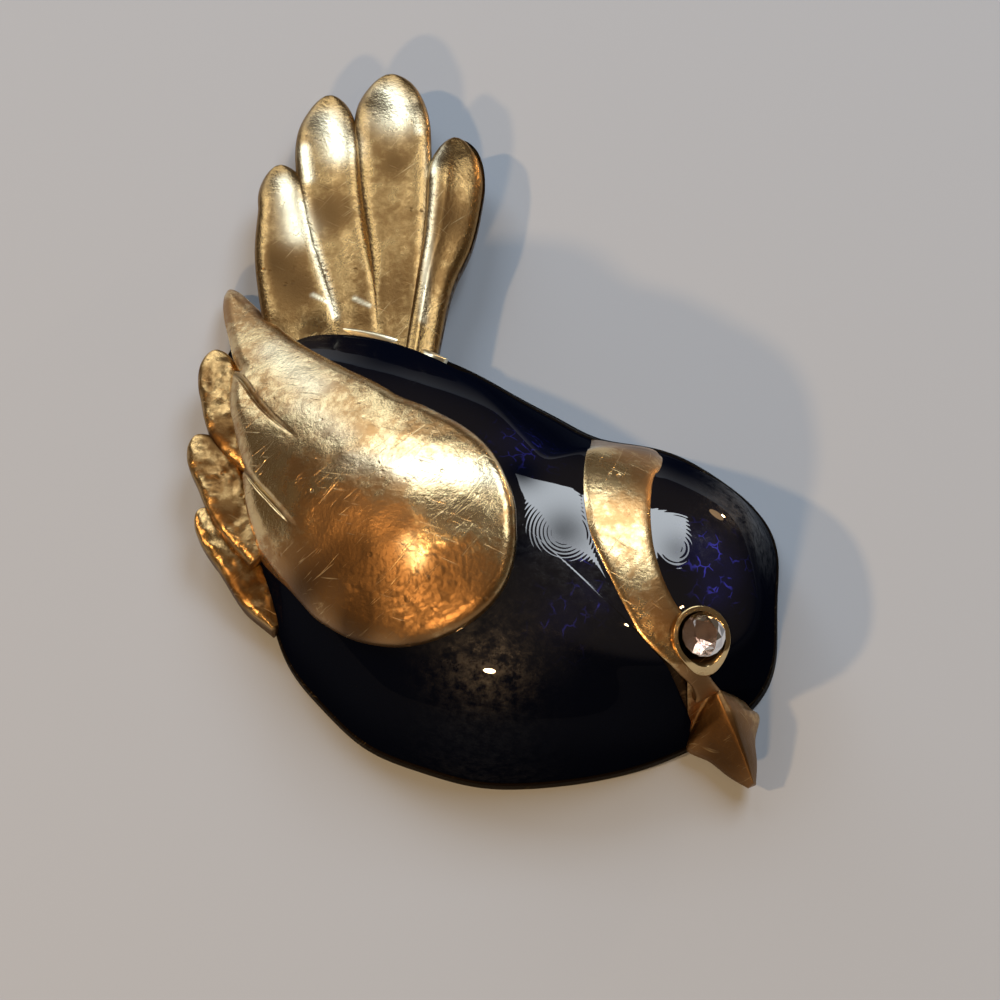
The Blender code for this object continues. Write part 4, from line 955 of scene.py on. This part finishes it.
# Beak. A short pointed beak of the casting: a ridge with two filed faces that slope to both sides, and a foot
# that widens where it leaves the head.
BEAK_LENGTH, BEAK_WIDTH, BEAK_HEIGHT = 3.4, 4.8, 4.4
BEAK_FOOT = BODY_REACH * np.array((0.774, -0.581))
BEAK_TURN = math.radians(-66)
BEAK_STAINS = ((11.4, -9.6, 1.5, 0.9), (12.6, -11.2, 1.6, 0.8))
# Along the beak from its foot: shares of its length, of its width, and of its height at the ridge and below
BEAK_SECTIONS = np.array((
    (-0.700, 0.33, 1.05, 0.12), (-0.220, 0.40, 1.00, 0.12), (0.000, 0.46, 0.97, 0.12),
    (0.320, 0.29, 0.84, 0.16), (0.680, 0.18, 0.66, 0.22), (1.000, 0.05, 0.46, 0.30),
))
BEAK_PROFILE = np.array((
    (-1.0, 0.0), (-1.0, 0.25), (-0.62, 0.62), (-0.08, 1.0), (0.10, 1.0), (0.62, 0.62), (1.0, 0.25), (1.0, 0.0),
))
beak_along = polar(1.0, BEAK_TURN)
beak_across = np.array((-beak_along[1], beak_along[0]))
stations = along(BEAK_SECTIONS, 14)
corners = np.vstack((BEAK_PROFILE, BEAK_PROFILE[:1]))
profile = np.vstack([start + (end - start) * np.linspace(0, 1, 7)[:-1, None]
                     for start, end in zip(corners[:-1], corners[1:])])
profile = (np.roll(profile, 1, axis=0) + 2 * profile + np.roll(profile, -1, axis=0)) / 4
plan = (BEAK_FOOT + BEAK_LENGTH * stations[:, :1] * beak_along)[:, None] \
    + (BEAK_WIDTH * stations[:, 1:2] * profile[:, 0])[..., None] * beak_across
low, high = BEAK_HEIGHT * stations[:, 3:4], BEAK_HEIGHT * stations[:, 2:3]
beak_rings = within_wall(np.concatenate((plan, (low + (high - low) * profile[:, 1])[..., None]), axis=2))
beak_gold = gold("gold_beak", tarnish=0.62, grain=1.6, roughness=0.26, bright=(0.70, 0.49, 0.23),
                 warm=(0.36, 0.20, 0.08))
cast_piece("beak", beak_rings, beak_gold, stain=spots(beak_rings, BEAK_STAINS))

# Eye cup. A round bezel of the casting that holds the eye stone. Its wall stands a little proud of the head, and
# its gold-plated lip is rounded and follows the head's form.
STONE_RADIUS = 1.2
CUP_PROUD = 0.15
CUP_ROOT = 1.2
CUP_SEAT = -0.42
LIP_ROUNDING, LIP_FALL, LIP_FOOT = 0.10, 0.09, 0.15
EYE_LEAN = 0.6
ROUND_SIDES = 96


def eye_frame():
    """Matrix that stands a turned shape on the head at the eye, leaning by a share of the slope there."""
    x, y = EYE_PLACE
    slope_x, slope_y = slopes(x, y, step=STONE_RADIUS / 4)
    normal = Vector((-slope_x * EYE_LEAN, -slope_y * EYE_LEAN, 1)).normalized()
    turn = Vector((0, 0, 1)).rotation_difference(normal).to_matrix()
    return np.array(turn), np.array((x, y, float(skin(x, y))))


eye_turn, eye_foot = eye_frame()


def turned_rings(profile):
    """Rings of a shape turned from rows of radius and height, stood in the eye's frame."""
    plan = polar(profile[:, :1], np.arange(ROUND_SIDES) / ROUND_SIDES * math.tau)
    z = np.broadcast_to(profile[:, 1:], plan.shape[:2])
    return np.concatenate((plan, z[..., None]), axis=2) @ eye_turn.T + eye_foot


inner, outer = CUP_INNER, CUP_INNER + CUP_WALL
over = np.linspace(0, math.pi, 13)
corner = CUP_WALL / 2 * np.sign(np.cos(over)) * np.abs(np.cos(over)) ** 0.3
lip = np.column_stack(((inner + outer) / 2 + corner, CUP_PROUD - LIP_ROUNDING * (1 - np.sin(over) ** 0.3)))
cup_profile = np.vstack(((0.05, -CUP_ROOT), (outer, -CUP_ROOT), (outer, -0.5), (outer, -0.2), lip,
                         (inner, -LIP_FOOT), (inner, CUP_SEAT), (inner - 0.2, CUP_SEAT - 0.05),
                         (0.4, CUP_SEAT - 0.42), (0.05, CUP_SEAT - 0.48)))
cup_rings = turned_rings(cup_profile)
cup_rings[..., :2] += CUP_SHIFT
# The wall from the outside of its foot, over the lip and down its inside follows the head's skin
rows = slice(2, 5 + len(lip))
above = np.concatenate(((-0.5, -LIP_FOOT), CUP_PROUD - LIP_FALL * np.abs(np.cos(over)) ** 6, (-LIP_FOOT,)))
cup_rings[rows, :, 2] = skin(cup_rings[rows, :, 0], cup_rings[rows, :, 1]) + above[:, None]
# Painted shade inside the cup, growing down its inner wall to full on the seat and the bottom
cup_recess = np.concatenate((np.zeros(3 + len(lip)), (0.5, 0.8), np.ones(len(cup_profile) - len(lip) - 5)))
cast_piece("eye_cup", cup_rings, gold("gold_eye_cup", tarnish=0.40, roughness=0.18),
           recess=np.repeat(cup_recess, ROUND_SIDES))

# Eye stone. A round clear glass stone, cut as a brilliant with a flat table, eight mains and sixteen halves
# above, and a foiled point below.
STONE_CROWN, STONE_GIRDLE, STONE_PAVILION = 0.38, 0.05, 0.70
TABLE_SHARE, STAR_SHARE, STAR_RISE = 0.56, 0.78, 0.58
LOWER_SHARE = 0.42
STONE_TURN = math.radians(14)


def stone_ring(count, radius, z, offset=0.0):
    """Corners of an even polygon at a level."""
    angle = (np.arange(count) + offset) / count * math.tau + STONE_TURN
    return np.column_stack((polar(radius, angle), np.full(count, z)))


def lower_facets(girdle, mains, point):
    """Facets below the girdle, from the numbers of its first corner, of the mains' first corner and of the point."""
    found = []
    for k in range(8):
        corner, half, following = girdle + 2 * k, girdle + 2 * k + 1, girdle + (2 * k + 2) % 16
        main = mains + k
        found += [(corner, mains + (k - 1) % 8, point, main), (corner, main, half), (half, main, following)]
    return found


def at_eye(name, points, faces, finish):
    """A faceted piece in the eye's frame, which stands for the stone."""
    piece = new_piece(name, points @ eye_turn.T + eye_foot, faces)
    piece.data.shade_flat()
    dress(piece, finish, "eye_stone", "eye_stone")


lower = np.vstack((stone_ring(16, STONE_RADIUS, -STONE_GIRDLE),
                   stone_ring(8, LOWER_SHARE * STONE_RADIUS, -STONE_GIRDLE - STONE_PAVILION * (1 - LOWER_SHARE), 0.5),
                   (0, 0, -STONE_GIRDLE - STONE_PAVILION)))
points = np.vstack((stone_ring(8, TABLE_SHARE * STONE_RADIUS, STONE_CROWN),
                    stone_ring(8, STAR_SHARE * STONE_RADIUS, STAR_RISE * STONE_CROWN, 0.5),
                    stone_ring(16, STONE_RADIUS, 0.0), lower))
faces = [tuple(range(8))]
for k in range(8):
    after, before = (k + 1) % 8, (k - 1) % 8
    corner, half, following = 16 + 2 * k, 17 + 2 * k, 16 + (2 * k + 2) % 16
    faces += [(k, 8 + k, after), (k, 8 + before, corner, 8 + k), (8 + k, corner, half), (8 + k, half, following)]
faces += [(16 + k, 32 + k, 32 + (k + 1) % 16, 16 + (k + 1) % 16) for k in range(16)] + lower_facets(32, 48, 56)
clear, tree, shader = new_finish("clear_stone", {"Roughness": 0.0, "IOR": 1.52, "Transmission Weight": 1.0})
tint = noise(tree, object_place(tree), 900.0)
tree.links.new(ramp(tree, tint, (0.3, (0.99, 0.91, 0.86)), (0.7, (0.93, 0.82, 0.74))), shader.inputs["Base Color"])
at_eye("eye_stone_cut", points, faces, clear)

# Foil. The silvered and browned backing of the stone, a thin film of metal laid on its lower facets, which it
# follows, so that it throws the light back.
FOIL_GAP, FOIL_THICKNESS = 0.02, 0.04
upper = [face[::-1] for face in lower_facets(0, 16, 24)]
faces = upper + [tuple(25 + index for index in face[::-1]) for face in upper]
faces += [(25 + k, 25 + (k + 1) % 16, (k + 1) % 16, k) for k in range(16)]
at_eye("stone_foil", np.vstack((lower - (0, 0, FOIL_GAP), lower - (0, 0, FOIL_GAP + FOIL_THICKNESS))), faces,
       gold("browned_foil", tarnish=0.50, scratches=0.0, grain=0.4, roughness=0.16, bright=(0.95, 0.84, 0.78),
            warm=(0.42, 0.26, 0.18)))

# Pin. A plain wire stem across the hollow back, from a rolled hinge to a bent catch, each on its own plate. It is
# of plain metal, bent and soldered, and is guessed, because the photograph doesn't show it.
PIN_HINGE, PIN_CATCH = BODY_REACH * np.array((-0.900, 0.620)), BODY_REACH * np.array((0.740, 0.060))
PIN_LEVEL = 1.5
PIN_RADIUS = 0.42
BARREL_RADIUS, BARREL_LENGTH = 0.85, 2.3
PLATE_WIDTH, PLATE_THICKNESS = 2.3, 0.5
PLATE_LEVEL = PIN_LEVEL + 0.5
# Where the plates begin and end from the hinge, and the same back from the catch
HINGE_PLATE, CATCH_PLATE = (-0.4, 2.2), (-2.4, -0.2)
HOOK_RADIUS, HOOK_WIRE, HOOK_BACK = 0.75, 0.27, 1.1
STEM_START, STEM_END, STEM_TAPER, STEM_BOW = 0.3, 0.4, 5.0, 0.15
PLATE_EDGE, PLATE_INSET = 0.06, 0.94
pin_along = (PIN_CATCH - PIN_HINGE) / np.linalg.norm(PIN_CATCH - PIN_HINGE)
pin_across = np.array((-pin_along[1], pin_along[0]))
pin_length = float(np.linalg.norm(PIN_CATCH - PIN_HINGE))


def tube_rings(path, radius, sides=24):
    """Round rings carried along a path of points, square to it: the first side is kept level."""
    path, radius = np.asarray(path, float), np.broadcast_to(radius, len(path))
    course = unit_course(path)
    level = np.cross(course, (0, 0, 1.0))
    weak = np.linalg.norm(level, axis=1) < 1e-3
    level[weak] = (*pin_across, 0)
    level /= np.linalg.norm(level, axis=1, keepdims=True)
    upright = np.cross(level, course)
    angle = (np.arange(sides) / sides * math.tau)[None, :, None]
    return path[:, None] + radius[:, None, None] * (np.cos(angle) * level[:, None] + np.sin(angle) * upright[:, None])


def pin_place(lengthwise, crosswise, z):
    """Point in the pin's own directions: along from the hinge, across, and up."""
    lengthwise, crosswise, z = np.broadcast_arrays(lengthwise, crosswise, z)
    plan = PIN_HINGE + lengthwise[..., None] * pin_along + crosswise[..., None] * pin_across
    return np.concatenate((plan, z[..., None]), axis=-1)


def rounded_plate(start, end, half, low, high):
    """Rings of a plate with rounded corners, from its underside to its top, the same way round as a tube's."""
    angle = -np.arange(48) / 48 * math.tau
    cosine, sine = polar(1.0, angle).T
    squared = 1 / (np.abs(cosine) ** 6 + np.abs(sine) ** 6) ** (1 / 6)
    middle, reach = (start + end) / 2, (end - start) / 2
    rows = ((PLATE_INSET, low), (1.0, low + PLATE_EDGE), (1.0, high - PLATE_EDGE), (PLATE_INSET, high))
    return np.stack([pin_place(middle + share * reach * squared * cosine, share * half * squared * sine, z)
                     for share, z in rows])


stem_at = np.linspace(STEM_START, pin_length - STEM_END, 60)
stem_radius = PIN_RADIUS * np.clip((pin_length - STEM_END / 2 - stem_at) / STEM_TAPER, 0.25, 1) ** 0.6
stem_level = PIN_LEVEL + STEM_BOW * np.sin(stem_at / pin_length * math.pi)
stem = tube_rings(pin_place(stem_at, 0.0, stem_level), stem_radius)
ends = np.array((-1.0, -0.97, -0.9, 0.9, 0.97, 1.0))
barrel = tube_rings(pin_place(0.0, ends * BARREL_LENGTH / 2, PIN_LEVEL),
                    BARREL_RADIUS * np.array((0.8, 0.95, 1, 1, 0.95, 0.8)))
hook_across, hook_up = HOOK_RADIUS * polar(1.0, np.linspace(-0.55 * math.pi, 0.85 * math.pi, 40)).T
hook = tube_rings(pin_place(pin_length - HOOK_BACK, hook_across, PIN_LEVEL + 0.1 + hook_up), HOOK_WIRE)
plates = [rounded_plate(start + shift, end + shift, PLATE_WIDTH / 2, PLATE_LEVEL, PLATE_LEVEL + PLATE_THICKNESS)
          for (start, end), shift in ((HINGE_PLATE, 0), (CATCH_PLATE, pin_length))]
points, faces = np.zeros((0, 3)), []
for rings in (stem, barrel, hook, *plates):
    faces += shell_faces(len(rings), rings.shape[1], len(points))
    points = np.vstack((points, rings.reshape(-1, 3), rings[0].mean(axis=0), rings[-1].mean(axis=0)))
pin = new_piece("pin_fitting", points, faces)
dress(pin, gold("plain_pin_metal", tarnish=0.5, scratches=0.6, roughness=0.30), "pin_metal", "brooch_pin")

# Surface and light. A pale matt table top, broad cool windows behind on the right and on the left, a low cool light
# towards the horizon, and small warm lamps in front, on the right, on the left and far behind.
FLOOR_HALF = 0.6
FLOOR_PALE = (0.46, 0.52, 0.60, 1)
floor_mesh = bpy.data.meshes.new("table_top")
floor_mesh.from_pydata([(x * FLOOR_HALF, y * FLOOR_HALF, 0) for x, y in ((-1, -1), (1, -1), (1, 1), (-1, 1))], [],
                       [(0, 1, 2, 3)])
floor = placed("table_top", floor_mesh)
floor_mesh.materials.append(new_finish("pale_matt", {"Base Color": FLOOR_PALE, "Roughness": 0.85})[0])
bpy.context.scene.view_settings.view_transform = "Standard"

LOOK_FROM_CROWN = (-0.5, 4.0, 4.0)
COOL, WARM = (0.86, 0.93, 1.0), (1.0, 0.62, 0.30)
ROOM_COLOUR, ROOM_STRENGTH = (1.0, 0.76, 0.54, 1), 0.08
# Name, direction and distance from the brooch, size in metres, power in watts, colour and shape
LIGHTS = (
    ("window_right", (0.345, 0.45, 0.82), 0.50, (0.21, 0.33), 1.05, COOL, "RECTANGLE"),
    ("window_left", (-0.33, 0.62, 0.71), 0.50, (0.25, 0.16), 0.56, COOL, "RECTANGLE"),
    ("window_low", (-0.50, 0.80, 0.33), 0.50, (0.18, 0.26), 0.26, COOL, "RECTANGLE"),
    ("lamp_near", (-0.30, -0.81, 0.51), 0.50, (0.046, 0.022), 1.0, WARM, "ELLIPSE"),
    ("lamp_right", (0.38, -0.35, 0.85), 0.50, (0.012, 0.012), 0.05, WARM, "ELLIPSE"),
    ("lamp_left", (-0.67, -0.17, 0.72), 0.50, (0.026, 0.026), 0.85, WARM, "ELLIPSE"),
    ("lamp_far", (0.69, 0.71, 0.12), 0.50, (0.018, 0.018), 0.16, WARM, "ELLIPSE"),
    ("lamp_far_shade", (0.66, 0.72, 0.20), 0.51, (0.07, 0.07), 0.03, WARM, "ELLIPSE"),
)
look_at = Vector((CROWN_AT[0] + LOOK_FROM_CROWN[0], CROWN_AT[1] + LOOK_FROM_CROWN[1], LOOK_FROM_CROWN[2])) * MM
for name, direction, distance, size, watts, colour, shape in LIGHTS:
    data = bpy.data.lights.new(name, "AREA")
    data.shape, data.energy, data.color = shape, watts, colour
    data.size, data.size_y = size
    light = placed(name, data)
    way = Vector(direction).normalized()
    light.location = look_at + way * distance
    first = (Vector((1, 0, 0)) - way * way.x).normalized()
    light.rotation_euler = Matrix((first, way.cross(first), way)).transposed().to_euler()
world = bpy.data.worlds.new("room")
world.use_nodes = True
background = world.node_tree.nodes["Background"]
background.inputs["Color"].default_value = ROOM_COLOUR
background.inputs["Strength"].default_value = ROOM_STRENGTH
bpy.context.scene.world = world

# Camera. It looks down at the brooch at 66 degrees, as the photograph does.
CAMERA_TILT = math.radians(66)
CAMERA_DISTANCE = 115.0
CAMERA_LENS = 72.45
camera_data = bpy.data.cameras.new("camera")
camera_data.lens = CAMERA_LENS
camera_data.sensor_width = 36
camera_data.clip_start = 0.01
camera = placed("camera", camera_data)
back = Vector((0, -math.cos(CAMERA_TILT), math.sin(CAMERA_TILT)))
camera.location = look_at + back * CAMERA_DISTANCE * MM
camera.rotation_euler = (-back).to_track_quat("-Z", "Y").to_euler()
bpy.context.scene.camera = camera
